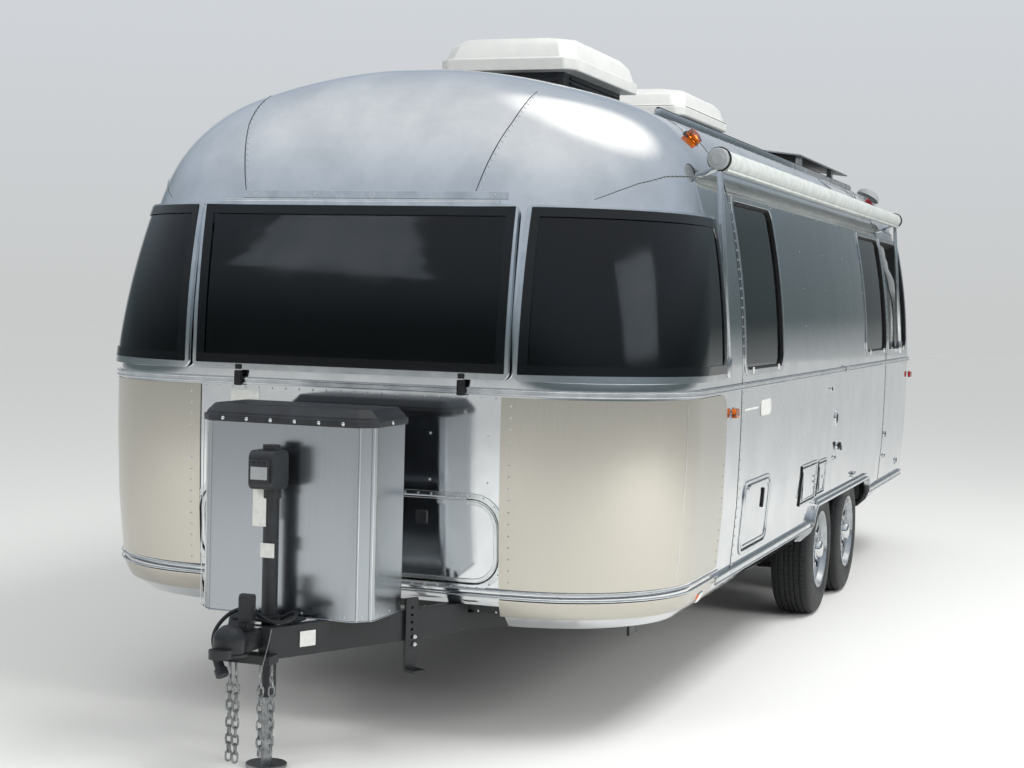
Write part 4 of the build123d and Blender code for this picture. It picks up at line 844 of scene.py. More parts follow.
def laid_plate(u, v, radius, low, high, hole=0.0, place=flank_place, slices=0.09, side=1, end=1, flat=None):
    """A rounded plate or ring on the skin, between two distances off it. hole is a ring's width."""
    bm = bmesh.new()
    bmesh.ops.create_grid(bm, x_segments=1, y_segments=1, size=0.5)
    bmesh.ops.scale(bm, vec=(u[1] - u[0], v[1] - v[0], 1), verts=bm.verts)
    bmesh.ops.translate(bm, vec=((u[0] + u[1]) / 2, (v[0] + v[1]) / 2, 0), verts=bm.verts)
    if radius:
        bmesh.ops.bevel(bm, geom=bm.verts[:], affect="VERTICES", offset=radius, offset_type="OFFSET",
                        segments=6, profile=0.5, material=-1)
    if hole:
        bmesh.ops.inset_region(bm, faces=bm.faces[:], thickness=hole, use_boundary=True,
                                use_even_offset=True)
        inner = max(bm.faces, key=lambda f: len(f.verts))
        bmesh.ops.delete(bm, geom=[inner], context="FACES")
    for axis, span in ((0, u), (1, v)):
        count = int((span[1] - span[0]) / slices)
        for i in range(1, count + 1):
            at = span[0] + (span[1] - span[0]) * i / (count + 1)
            point, direction = ((at, 0, 0), (1, 0, 0)) if axis == 0 else ((0, at, 0), (0, 1, 0))
            bmesh.ops.bisect_plane(bm, geom=bm.verts[:] + bm.edges[:] + bm.faces[:], plane_co=point,
                                   plane_no=direction, dist=1e-5)
    bmesh.ops.recalc_face_normals(bm, faces=bm.faces)
    if bm.faces[:][0].normal.z < 0:
        bmesh.ops.reverse_faces(bm, faces=bm.faces)
    top = bmesh.ops.extrude_face_region(bm, geom=bm.faces[:])
    bmesh.ops.translate(bm, vec=(0, 0, 1),
                        verts=[g for g in top["geom"] if isinstance(g, bmesh.types.BMVert)])
    for vert in bm.verts:
        off = high if vert.co.z > 0.5 else low
        level = flat if flat is not None else vert.co.y
        point = place(vert.co.x, vert.co.y, 0)
        if flat is not None:
            point = Vector((point.x, place(vert.co.x, level, 0).y, point.z))
        vert.co = mirrored([point + skin_normal(point) * off], side, end)[0]
    bmesh.ops.recalc_face_normals(bm, faces=bm.faces)
    return shaded(bm)


def joined(parts):
    """Several meshes made one."""
    whole = bmesh.new()
    for part in parts:
        data = bpy.data.meshes.new("part")
        part.to_mesh(data)
        part.free()
        whole.from_mesh(data)
        bpy.data.meshes.remove(data)
    return whole


def trim(name, bm, body, width):
    """A piece of bright moulding with rounded edges."""
    return edged(show(name, bm, body, [moulding]), width)


def wider(span, below, above=None):
    """A pair of values moved apart, or together where the amounts are negative."""
    return span[0] - below, span[1] + (below if above is None else above)


SIDE_WINDOWS = (((1.045, 1.885), (1.435, 2.190)), ((-2.395, -1.545), (1.450, 2.180)),
                ((-3.335, -2.465), (1.450, 2.180)))
FRAME_W, GASKET_W, WINDOW_R = 0.026, 0.011, 0.060
FRAME_OUT, TAB_IN = FRAME_W - 0.006, 0.14        # a frame's edge past the glass; a tab from its corner
frames, gaskets, tabs = [], [], []
for side in (1, -1):
    for u, v in SIDE_WINDOWS:
        frames.append(laid_plate(wider(u, FRAME_OUT), wider(v, FRAME_OUT), WINDOW_R + FRAME_OUT, ON_SKIN,
                                 0.007, FRAME_W, side=side))
        gaskets.append(laid_plate(wider(u, -0.004), wider(v, -0.004), WINDOW_R, -0.010, 0.003, GASKET_W,
                                  side=side))
        for x in wider(u, -TAB_IN):
            tabs.append(laid_plate((x - 0.012, x + 0.012), (v[0] - 0.012, v[0] + 0.016), 0.003, 0.007, 0.011,
                                   side=side))
trim("window_frames", joined(frames), "caravan", 0.002)
show("window_gaskets", joined(gaskets), "caravan", [rubber])
show("window_tabs", joined(tabs), "caravan", [label_film])
DOOR_U, DOOR_V = (0.360, 1.030), (0.556, 2.235)
DOOR_WINDOW_U, DOOR_WINDOW_V = (0.440, 0.950), (1.420, 2.080)
door_ring = laid_plate(wider(DOOR_WINDOW_U, 0.02), wider(DOOR_WINDOW_V, 0.02), 0.08, ON_SKIN, 0.007, FRAME_W,
                       side=-1)
trim("door_window_frame", door_ring, "door", 0.002)
door_edge = laid_plate(wider(DOOR_U, 0.02, 0.004), wider(DOOR_V, 0.018, 0.022), 0.095, ON_SKIN, 0.006, 0.020,
                       side=-1)
trim("door_surround", door_edge, "caravan", 0.0015)
print("window and door frames done")

# %% [markdown]
# The awnings are rolled cloth between two round end castings, with a pair of slim arms folded down
# to a bracket on the wall at each end. The roll is a spun profile, a little fuller in the middle,
# with the cloth's loose edge lying along it as a thin lap.

# %% Awnings
for cord in (plug_cable, wire_cord):
    cord.data.materials.append(jacket if cord is plug_cable else bright_steel)

AWNING_Y, AWNING_Z, AWNING_R = 1.240, 2.333, 0.044
AWNING_X = (-2.932, 2.290)
ARM_LOW_Z = 1.440
AWNING_CAP = ((0.0, 0.0), (0.0, 0.044), (0.006, 0.046), (0.020, 0.046), (0.026, 0.041), (0.028, 0.026),
              (0.031, 0.024), (0.033, 0.0))      # outward from the roll's end, radius
AWNING_RING = ((0.016, 0.0465), (0.016, 0.0515), (0.001, 0.0520), (0.001, 0.0465), (0.016, 0.0465))


def turned(points, axis, steps):
    """A shape turned round an axis through the origin, from its profile's points."""
    bm = bmesh.new()
    verts = [bm.verts.new(point) for point in points]
    for a, b in zip(verts, verts[1:]):
        bm.edges.new((a, b))
    bmesh.ops.spin(bm, geom=bm.verts[:] + bm.edges[:], cent=(0, 0, 0), axis=axis, angle=math.tau,
                   steps=steps, use_merge=True)
    bmesh.ops.remove_doubles(bm, verts=bm.verts, dist=1e-6)
    bmesh.ops.recalc_face_normals(bm, faces=bm.faces)
    return shaded(bm)


def spun(profile, axis_y, axis_z, steps=32, side=1):
    """A closed shape turned about a line along X, from (x, radius) points."""
    bm = turned([(x, 0, r) for x, r in profile], (1, 0, 0), steps)
    bmesh.ops.translate(bm, vec=(0, side * axis_y, axis_z), verts=bm.verts)
    return bm


def beam(x, y, z, width=0.0, segments=2):
    """A rounded bar between two values on each axis."""
    bm = bmesh.new()
    bmesh.ops.create_cube(bm, size=1)
    bmesh.ops.scale(bm, vec=(x[1] - x[0], y[1] - y[0], z[1] - z[0]), verts=bm.verts)
    bmesh.ops.translate(bm, vec=((x[0] + x[1]) / 2, (y[0] + y[1]) / 2, (z[0] + z[1]) / 2), verts=bm.verts)
    if width:
        bmesh.ops.bevel(bm, geom=bm.edges[:], affect="EDGES", offset=width, offset_type="OFFSET",
                        segments=segments, profile=0.5, material=-1)
    return shaded(bm)


def between(start, stop, across, thick, width=0.0):
    """A straight rounded bar from one point to another, so wide along X and so thick across."""
    start, stop = Vector(start), Vector(stop)
    bm = beam((-across / 2, across / 2), (-thick / 2, thick / 2), (0, (stop - start).length), width)
    way = (stop - start).normalized()
    side_way = Vector((1, 0, 0))
    turn = Matrix((side_way, way.cross(side_way).normalized(), way)).transposed().to_4x4()
    bmesh.ops.transform(bm, matrix=Matrix.Translation(start) @ turn, verts=bm.verts)
    return bm


rolls, castings, rings, arms = [], [], [], []
for side in (1, -1):
    span = AWNING_X[1] - AWNING_X[0]
    body = [(AWNING_X[0] + span * i / 10, AWNING_R + 0.002 * math.sin(math.pi * i / 10)) for i in range(11)]
    rolls.append(spun([(AWNING_X[0], 0.0)] + body + [(AWNING_X[1], 0.0)], AWNING_Y, AWNING_Z, 40, side))
    lap = beam((AWNING_X[0] + 0.03, AWNING_X[1] - 0.03),
               (side * (AWNING_Y + 0.022) - 0.012, side * (AWNING_Y + 0.022) + 0.012),
               (AWNING_Z - 0.0500, AWNING_Z - 0.0380), 0.004)
    rolls.append(lap)
    for end, x in ((-1, AWNING_X[0]), (1, AWNING_X[1])):
        cap = [(x + end * out, r) for out, r in AWNING_CAP]
        castings.append(spun(cap, AWNING_Y, AWNING_Z, 36, side))
        ring = [(x - end * back, r) for back, r in AWNING_RING]
        rings.append(spun(ring, AWNING_Y, AWNING_Z, 36, side))
        low_y = half_width(ARM_LOW_Z)
        top = (x - end * 0.008, side * (AWNING_Y + 0.004), AWNING_Z - 0.050)
        for shift, off in ((-0.0105, 0.018), (0.0115, 0.012)):
            foot = (top[0] + shift, side * (low_y + off), ARM_LOW_Z + 0.014)
            arms.append(between((top[0] + shift, top[1], top[2]), foot, 0.016, 0.020, 0.003))
        arms.append(beam((top[0] - 0.024, top[0] + 0.025),
                         (side * (low_y + 0.014) - 0.016, side * (low_y + 0.014) + 0.016),
                         (ARM_LOW_Z - 0.018, ARM_LOW_Z + 0.062), 0.005))
        arms.append(between((top[0], side * (half_width(2.27) - 0.004), 2.270),
                            (top[0], side * AWNING_Y, 2.300), 0.034, 0.026, 0.004))
show("awning_rolls", joined(rolls), "caravan", [awning_cloth], ["awnings"])
show("awning_castings", joined(castings), "caravan", [grey_plastic], ["awnings"])
show("awning_rings", joined(rings), "caravan", [rubber], ["awnings"])
show("awning_arms", joined(arms), "caravan", [moulding], ["awnings"])
print("awnings", [round(v, 3) for v in AWNING_X])

# %% [markdown]
# A tyre is a spun section: bulged walls, a shoulder and a tread with five grooves. The tread's
# cross cuts follow the tyre round, so they read an attribute that holds the angle and the distance
# across, and act as bumps only.

# %% Tyres
TYRE_SECTION = (         # radius and distance from the middle, in millimetres, from bead to mid-tread
    (205.5, 95), (209, 99), (216, 101.5), (228, 106), (245, 110), (262, 112), (285, 112), (305, 110),
    (322, 107.5),
    (335, 104), (345, 100), (351, 95.5), (355, 89), (357, 83), (360.5, 78), (362.5, 74), (363.2, 62),
    (356, 60.5), (356, 53.5),
    (363.8, 52), (364.5, 31), (357, 29.5), (357, 22.5), (364.7, 21), (365, 4.5), (357.5, 3.2),
)
WHEEL_PLACES = (
    ("front_left", -0.412, 1), ("front_right", -0.412, -1), ("rear_left", -1.312, 1),
    ("rear_right", -1.312, -1),
)
TRACK_Y, WHEEL_Z = 1.140, 0.365

# Tread rubber: matt, near black, greyed by dust
rubber_tread = finish("tyre_tread_rubber", "17181A", 0.0, 0.72, 0.1, 60, fleck="232425")
tree = rubber_tread.node_tree
around = add(tree, "ShaderNodeAttribute", attribute_name="around", attribute_type="GEOMETRY")
cuts = add(tree, "ShaderNodeTexWave",
           {"Vector": around.outputs["Vector"], "Scale": math.tau / 20, "Distortion": 0.0},
           wave_type="BANDS", bands_direction="X", wave_profile="TRI")
cut_edge = add(tree, "ShaderNodeMapRange",
               {"Value": cuts.outputs["Fac"], "From Min": 0.03, "From Max": 0.16})
cut_bump = add(tree, "ShaderNodeBump",
               {"Height": cut_edge.outputs["Result"], "Distance": 0.004, "Strength": 1.0})
tree.links.new(cut_bump.outputs["Normal"], tree.nodes["Principled BSDF"].inputs["Normal"])
# Tyre wall rubber: a little smoother than the tread
rubber_wall = finish("tyre_wall_rubber", "1B1C1D", 0.0, 0.58, 0.1, 50, 0.15, 5, fleck="2A2A2A")


def tyre_mesh(x, side):
    """One tyre, turned about its axle, with an attribute that runs round the tread."""
    half = [(0, y / 1000, r / 1000) for r, y in TYRE_SECTION]
    section = half + [(0, -y, r) for _, y, r in reversed(half)]
    bm = turned(section + section[:1], (0, 1, 0), 72)
    layer = bm.loops.layers.float_vector.new("around")
    for face in bm.faces:
        centre = face.calc_center_median()
        face.material_index = 0 if math.hypot(centre.x, centre.z) > 0.3555 and abs(centre.y) < 0.0895 else 1
        middle = math.atan2(centre.z, centre.x)
        for loop in face.loops:
            angle = math.atan2(loop.vert.co.z, loop.vert.co.x)
            angle += math.tau if angle < middle - math.pi else -math.tau if angle > middle + math.pi else 0
            loop[layer] = (angle * 84 / math.tau, loop.vert.co.y * 20, 0)
    for edge in bm.edges:
        edge.smooth = edge.calc_face_angle(0) < math.radians(40)
    bmesh.ops.translate(bm, vec=(x, side * TRACK_Y, WHEEL_Z), verts=bm.verts)
    return bm


for name, x, side in WHEEL_PLACES:
    show("tyre_tread_" + name, tyre_mesh(x, side), "road_wheel_" + name,
         [rubber_tread, rubber_wall], ["tyre_" + name])
print("4 tyres,", len(TYRE_SECTION), "section points each side")

# %% [markdown]
# The alloy wheel is the solid with soft edges. On it sit a chrome hub cap, six wheel nuts, a rubber
# valve and a bright rim line.

# %% Wheels
def turned_y(profile, steps=36):
    """A shape turned about the Y axis from (radius, y) points."""
    return turned([(0, y, r) for r, y in profile], (0, 1, 0), steps)


def turned_about(bm, x, side, angle=0.0, radius=0.0):
    """Moves a wheel's part to its axle, turned to its side, at an angle and radius round the hub."""
    if side < 0:
        bmesh.ops.rotate(bm, cent=(0, 0, 0), matrix=Matrix.Rotation(math.pi, 3, "Z"), verts=bm.verts)
    shift = Vector((math.cos(angle) * radius, 0, math.sin(angle) * radius))
    bmesh.ops.translate(bm, vec=shift + Vector((x, side * TRACK_Y, WHEEL_Z)), verts=bm.verts)
    return bm


CAP_PROFILE = ((0.0, 0.1220), (0.020, 0.1215), (0.036, 0.1190), (0.045, 0.113), (0.048, 0.105),
               (0.050, 0.092), (0.0600, 0.088), (0.0615, 0.080), (0.0600, 0.070), (0.0, 0.070))
NUT_PROFILE = ((0.0, 0.0840), (0.007, 0.0835), (0.0105, 0.0800), (0.0110, 0.0620), (0.0150, 0.0600),
               (0.0, 0.0560))
NUT_CIRCLE_R = 0.084
RIM_LINE = ((0.206, 0.1005), (0.2145, 0.1010), (0.2155, 0.1070), (0.206, 0.1085), (0.2035, 0.1060),
            (0.206, 0.1005))
# Chromed steel: a clear mirror, for hub caps, bolts and levers
chrome = finish("chromed_steel", "DDDFE0", 1.0, 0.06, 0.03, 60)
for name, x, side in WHEEL_PLACES:
    softened("wheel_" + name, "road_wheel_" + name, [alloy], 0.0025)
    bright = [turned_about(turned_y(CAP_PROFILE), x, side)]
    bright += [turned_about(turned_y(NUT_PROFILE, 6), x, side, math.tau * (i + 0.5) / 6, NUT_CIRCLE_R)
               for i in range(6)]
    show("hub_cap_" + name, joined(bright), "road_wheel_" + name, [chrome])
    rim_line = turned_about(turned_y(RIM_LINE, 64), x, side)
    show("rim_line_" + name, rim_line, "road_wheel_" + name, [alloy])
    valve = turned_y(((0.0, 0.112), (0.004, 0.112), (0.0045, 0.098), (0.0065, 0.084), (0.0, 0.080)), 10)
    turned_about(valve, x, side, 0.7, 0.178)
    show("valve_" + name, valve, "road_wheel_" + name, [rubber])
print("wheels dressed")

# %% [markdown]
# The safety chains are links of round wire, each turned a quarter from the last. One link is a
# spun half ring and two straight runs; here a ring is stretched, which gives the same shape.

# %% Chains
LINK_LONG, LINK_WIDE, LINK_WIRE, LINK_PITCH, CHAIN_TOP_Z = 0.046, 0.029, 0.0080, 0.0304, 0.372
CHAIN_SPOTS = ((4.035, -0.058, 10), (4.050, -0.024, 10), (4.038, 0.066, 9), (4.008, 0.094, 9))


def link():
    """One link in the XZ plane: a turned ring of wire, its halves drawn apart along Z."""
    bm = bmesh.new()
    middle_r = (LINK_WIDE - LINK_WIRE) / 2
    bmesh.ops.create_circle(bm, segments=6, radius=LINK_WIRE / 2)
    bmesh.ops.rotate(bm, cent=(0, 0, 0), matrix=Matrix.Rotation(math.pi / 2, 3, "X"), verts=bm.verts)
    bmesh.ops.rotate(bm, cent=(0, 0, 0), matrix=Matrix.Rotation(math.pi / 2, 3, "Z"), verts=bm.verts)
    bmesh.ops.translate(bm, vec=(0, 0, middle_r), verts=bm.verts)
    bmesh.ops.spin(bm, geom=bm.verts[:] + bm.edges[:], cent=(0, 0, 0), axis=(0, 1, 0), angle=math.tau,
                   steps=12, use_merge=True)
    bmesh.ops.remove_doubles(bm, verts=bm.verts, dist=1e-6)
    draw = (LINK_LONG - LINK_WIDE) / 2
    for vert in bm.verts:
        vert.co.z += draw * max(-1, min(1, vert.co.z / (0.35 * middle_r)))
    bmesh.ops.recalc_face_normals(bm, faces=bm.faces)
    return bm


random.seed(7)
link_places = []
for x, y, count in CHAIN_SPOTS:
    for i in range(count):
        lean = Matrix.Rotation(math.radians(random.uniform(-7, 7)), 4, "X")
        turn = Matrix.Rotation(math.radians(90 * (i % 2) + 45 + random.uniform(-8, 8)), 4, "Z")
        middle = Vector((x, y, CHAIN_TOP_Z - LINK_LONG / 2 - i * LINK_PITCH))
        link_places.append(Matrix.Translation(middle) @ turn @ lean)
chains = repeated("chain_links", link(), link_places, "caravan", [bright_steel])
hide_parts("safety_chains")
hooks = []
for x, y, count in CHAIN_SPOTS:
    hooks.append(between((x, y, 0.420), (x, y, CHAIN_TOP_Z - 0.008), 0.010, 0.010, 0.003))
show("chain_hangers", joined(hooks), "caravan", [bright_steel], ["safety_chains"])
print(len(link_places), "links")

# %% [markdown]
# The tongue jack has a moulded motor head with a control panel, a cap over the manual drive, and a
# round tube. Its labels are blank. The bottle cover is a folded sheet with a dark moulded lid held
# by six bright bolts, and small rivets along its foot.

# %% Jack, coupler and cover
softened("tongue_jack", "caravan", [black_plastic], 0.005, segments=3)
JACK_X = 3.855
panel = beam((3.9505, 3.9545), (-0.036, 0.030), (1.058, 1.104), 0.0015)
show("jack_control_panel", panel, "caravan", [grey_plastic])
facing = Vector((1, 0, 0)).to_track_quat("Z", "Y").to_matrix().to_4x4()
buttons = [Matrix.Translation((3.9510, y, z)) @ facing
           for y, z in ((-0.024, 1.118), (-0.004, 1.120), (0.017, 1.118))]
repeated("jack_buttons", dome(0.0062, 0.004, 12), buttons, "caravan", [rubber])
jack_labels = [beam((3.8845, 3.8860), (-0.060, -0.006), (0.882, 1.016)),
               beam((3.8845, 3.8860), (-0.026, 0.030), (0.770, 0.822))]
show("jack_labels", joined(jack_labels), "caravan", [label_film])
COLLARS = (
    ((0.0300, 0.985), (0.0345, 0.985), (0.0355, 0.990), (0.0355, 1.018), (0.0300, 1.018), (0.0300, 0.985)),
    ((0.0300, 0.550), (0.0440, 0.550), (0.0440, 0.556), (0.0340, 0.562), (0.0300, 0.562), (0.0300, 0.550)),
)


def upright(profile, x=0.0, steps=28):
    """A shape turned about an upright line at an x, from (radius, height) points."""
    bm = turned([(r, 0, z) for r, z in profile], (0, 0, 1), steps)
    bmesh.ops.translate(bm, vec=(x, 0, 0), verts=bm.verts)
    return bm


jack_rings = [upright(profile, JACK_X) for profile in COLLARS]
show("jack_collars", joined(jack_rings), "caravan", [black_steel])

COVER_X, COVER_Y, COVER_Z, COVER_CUT = (3.430, 3.775), 0.351, (0.540, 1.247), 0.057
BOLT_Y = (-0.245, -0.147, -0.049, 0.049, 0.147, 0.245)
bolts = [(Vector((COVER_X[1] + 0.0095, y, COVER_Z[1] + 0.013)), Vector((1, 0, 0))) for y in BOLT_Y]
bolts += [(Vector((3.60, side * (COVER_Y + 0.0095), COVER_Z[1] + 0.013)), Vector((0, side, 0)))
          for side in (1, -1)]
repeated("lid_bolts", dome(0.0078, 0.0055, 12), bolts, "caravan", [chrome])
foot_rivets = [(Vector((COVER_X[1], y, COVER_Z[0] + 0.018)), Vector((1, 0, 0)))
               for y in (-0.26, -0.09, 0.09, 0.26)]
foot_rivets += [(Vector((x, side * COVER_Y, COVER_Z[0] + 0.018)), Vector((0, side, 0)))
                for side in (1, -1) for x in (3.46, 3.57, 3.68)]
foot_rivets += [(Vector((COVER_X[1] - COVER_CUT / 2, side * (COVER_Y - COVER_CUT / 2), COVER_Z[0] + 0.018)),
                 Vector((1, side, 0)).normalized()) for side in (1, -1)]
repeated("cover_rivets", dome(0.0048, 0.002), foot_rivets, "caravan", [rivet_metal])
front, side_y = COVER_X[1] + 0.0004, COVER_Y + 0.0004
hem_path = [(COVER_X[0], -side_y), (front - COVER_CUT, -side_y), (front, -side_y + COVER_CUT),
            (front, side_y - COVER_CUT), (front - COVER_CUT, side_y), (COVER_X[0], side_y)]
HEM_R, FOLD_R, FOLD_ASIDE = 0.0026, 0.0018, 0.017
bead("cover_hem", [[Vector((x, y, COVER_Z[0] + 0.0025)) for x, y in hem_path]], HEM_R, "caravan",
     cover_sheet)
folds = []
for side in (1, -1):
    for x, y in ((front - 0.001, side_y - COVER_CUT + FOLD_ASIDE),
                 (front - COVER_CUT + FOLD_ASIDE, side_y - 0.001)):
        folds.append([Vector((x, side * y, z)) for z in (COVER_Z[0] + 0.004, COVER_Z[1])])
bead("cover_folds", folds, FOLD_R, "caravan", polished)
gear = [beam((4.000, 4.010), (-0.030, 0.024), (0.600, 0.606), 0.002),
        between((4.020, 0.030, 0.560), (4.020, -0.034, 0.560), 0.010, 0.010, 0.002)]
show("latch_pin", joined(gear), "caravan", [bright_steel])
RAIL_WAY = Vector((-1.610, 0.798, 0)).normalized()
RAIL_OUT = Vector((0.798, 1.610, 0)).normalized()


def on_rail(x, off):
    """A point on the left drawbar rail's outer face, at mid height."""
    t = (4.010 - x) / 1.610
    return Vector((x, 0.062 + 0.798 * t + (0.022 + 0.010 * t) / RAIL_OUT.y, 0)) + RAIL_OUT * off


def rail_plate(x, z, length, high, thick):
    """A thin plate on the left drawbar rail's outer face."""
    bm = beam((-length / 2, length / 2), (0, thick), (z - high / 2, z + high / 2))
    turn = Matrix((RAIL_WAY, RAIL_OUT, Vector((0, 0, 1)))).transposed().to_4x4()
    bmesh.ops.transform(bm, matrix=Matrix.Translation(on_rail(x, 0)) @ turn, verts=bm.verts)
    return bm


labels = [rail_plate(3.863, 0.487, 0.070, 0.056, 0.0012)]
labels.append(beam((3.948, 3.976), (-0.005, 0.060), (0.5285, 0.5300)))
show("drawbar_labels", joined(labels), "caravan", [label_film])
BRACKET_X = 3.420
bracket_bolts = []
for side in (1, -1):
    for z in (0.441, 0.412):
        out = Vector((RAIL_OUT.x, side * RAIL_OUT.y, 0))
        at = on_rail(BRACKET_X, 0)
        point = Vector((at.x, side * at.y, z)) + out * 0.0135
        bracket_bolts.append((point, out))
repeated("bracket_bolts", dome(0.0105, 0.009, 6, 2), bracket_bolts, "caravan", [chrome])
print("drawbar dressed")

# %% [markdown]
# The skin carries small fittings: the strip that hangs the stone guard, rubber latches, ring frames
# round the hatches, lamp bases, sockets and locks. Rings are laid on the curved sheet. Round
# fittings are turned about their own axis and then set square to the wall.

# %% Hatches and doors
def set_on(bm, point):
    """Moves a fitting made on the XY plane, with Z outward, onto the skin at a point."""
    out = skin_normal(point)
    across = Vector((0, 0, 1)).cross(out).normalized()
    turn = Matrix((across, out.cross(across), out)).transposed().to_4x4()
    bmesh.ops.transform(bm, matrix=Matrix.Translation(point) @ turn, verts=bm.verts)
    return bm


def rounded(u, v, radius, spacing):
    """Points along a rectangle with round corners, evenly spaced."""
    path = []
    for cu, cv, start in ((u[1] - radius, v[1] - radius, 0), (u[0] + radius, v[1] - radius, 90),
                          (u[0] + radius, v[0] + radius, 180), (u[1] - radius, v[0] + radius, 270)):
        for i in range(7):
            angle = math.radians(start + 15 * i)
            path.append(Vector((cu + radius * math.cos(angle), cv + radius * math.sin(angle), 0)))
    return [(p.x, p.y) for p in resample(path + path[:1], spacing, False)]


HATCH_U, HATCH_V, HATCH_CORNER = (-0.650, 0.650), (0.620, 0.955), 0.110
flange = laid_plate(wider(HATCH_U, 0.022), wider(HATCH_V, 0.022, 0.020), HATCH_CORNER + 0.020, ON_SKIN,
                    0.0050, 0.021, nose_place)
trim("front_hatch_flange", flange, "caravan", 0.0015)
hatch_rim = laid_plate(wider(HATCH_U, -0.008), wider(HATCH_V, -0.008, -0.010), HATCH_CORNER - 0.008, ON_SKIN,
                       0.0045, 0.014, nose_place)
trim("front_hatch_rim", hatch_rim, "hatch_front", 0.0015)


def seat(u, v, off=0.0):
    """A rivet's place on the nose, so far off the skin, and the way it faces."""
    point = nose_place(u, v, 0)
    return point + skin_normal(point) * off, skin_normal(point)


FLANGE_TOP, STRIP_TOP = 0.0048, 0.0058           # how far off the skin these rivets sit
flange_rivets = [seat(u, v, FLANGE_TOP) for u, v in
                 rounded(wider(HATCH_U, 0.012), wider(HATCH_V, 0.012, 0.010), HATCH_CORNER, 0.055)]
flange_rivets += [seat(u, v) for v in (1.020, 1.200) for u in (-0.600, -0.360, -0.120, 0.120, 0.360, 0.600)]
latch_plate = laid_plate((0.306, 0.352), (0.846, 0.898), 0.006, ON_SKIN, 0.0085, place=nose_place)
edged(show("front_hatch_latch", latch_plate, "hatch_front", [black_plastic]), 0.002)

SIDE_U, SIDE_V = (1.235, 1.785), (0.622, 0.917)
side_flange = laid_plate(wider(SIDE_U, 0.020), wider(SIDE_V, 0.020), 0.070, ON_SKIN, 0.0060, 0.018)
trim("side_hatch_flange", side_flange, "caravan", 0.002)
side_rim = laid_plate(wider(SIDE_U, -0.010), wider(SIDE_V, -0.010, -0.012), 0.044, ON_SKIN, 0.0050, 0.012)
trim("side_hatch_rim", side_rim, "hatch_side", 0.0015)
side_latch = laid_plate((1.374, 1.394), (0.785, 0.878), 0.008, ON_SKIN, 0.0080)
edged(show("side_hatch_latch", side_latch, "hatch_side", [rubber]), 0.002)

SERVICE = (("front", (-0.005, 0.405), (0.700, 0.890)), ("rear", (-0.285, -0.065), (0.710, 0.880)))
door_frames, door_edges = [], []
for name, u, v in SERVICE:
    door_frames.append(laid_plate(wider(u, 0.014), wider(v, 0.014), 0.020, ON_SKIN, 0.0060, 0.012))
    door_edges.append(laid_plate((u[1] + 0.015, u[1] + 0.021), wider(v, 0.010), 0.002, ON_SKIN, 0.0075))
    rim = laid_plate(wider(u, -0.006), wider(v, -0.006), 0.010, ON_SKIN, 0.0040, 0.008)
    trim("service_rim_" + name, rim, "service_" + name, 0.001)
trim("service_frames", joined(door_frames), "caravan", 0.0015)
show("service_edges", joined(door_edges), "caravan", [rubber])
print(len(flange_rivets), "flange rivets")

# %% [markdown]
# Round locks, sockets and hose inlets are plated flanges with a dark cap. The lamps stand on
# bright metal bases. The plaque and the printed labels are blank.

# %% Fittings
FLANGE_SHAPE = ((0.55, ON_SKIN), (1.0, ON_SKIN), (1.0, 0.0035), (0.93, 0.0065), (0.62, 0.0075),
                (0.55, 0.0050), (0.55, ON_SKIN))
CAP_SHAPE = ((0.0, ON_SKIN), (1.0, ON_SKIN), (1.0, 0.0070), (0.86, 0.0100), (0.30, 0.0115), (0.0, 0.0120))


def scaled(shape, radius):
    return [(r * radius, h) for r, h in shape]


ROUND_FITTINGS = (       # x, z, flange radius
    (-0.535, 1.100, 0.048), (-0.629, 0.934, 0.036), (-0.329, 1.273, 0.018), (-0.536, 0.877, 0.018),
    (-2.496, 0.886, 0.036), (-2.550, 0.740, 0.020), (-3.195, 0.657, 0.030),
)
plated, dark = [], []
for x, z, radius in ROUND_FITTINGS:
    point = flank_place(x, z, 0)
    plated.append(set_on(upright(scaled(FLANGE_SHAPE, radius)), point))
    dark.append(set_on(upright(scaled(CAP_SHAPE, radius * 0.58)), point))
for u, v, radius in ((0.030, 0.816, 0.010), (0.030, 0.786, 0.010), (-0.205, 0.795, 0.010)):
    lock = set_on(upright(scaled(CAP_SHAPE, radius)), flank_place(u, v, 0))
    bmesh.ops.translate(lock, vec=(0, 0.001, 0), verts=lock.verts)
    owner = "service_front" if u > -0.05 else "service_rear"
    show("service_lock_%d" % round(1000 * v), lock, owner, [chrome])
handle = beam((-0.034, 0.034), (-0.009, 0.009), (0.010, 0.024), 0.004)
bmesh.ops.rotate(handle, cent=(0, 0, 0), matrix=Matrix.Rotation(math.radians(-35), 3, "Z"),
                 verts=handle.verts)
dark.append(set_on(handle, flank_place(-0.640, 0.934, 0)))
gear_cap = beam((-0.040, 0.040), (-0.016, 0.016), (ON_SKIN, 0.020), 0.006)
plated.append(set_on(gear_cap, flank_place(-1.290, 0.716, 0)))
show("wall_flanges", joined(plated), "caravan", [chrome])
show("wall_caps", joined(dark), "caravan", [black_plastic])

plaque = [laid_plate((1.310, 1.530), (1.220, 1.294), 0.028, ON_SKIN, 0.0040),
          laid_plate((1.585, 1.870), (1.259, 1.268), 0.003, ON_SKIN, 0.0020),
          laid_plate((-0.515, -0.385), (1.284, 1.334), 0.004, ON_SKIN, 0.0010, place=nose_place)]
show("blank_plaques", joined(plaque), "caravan", [label_film])

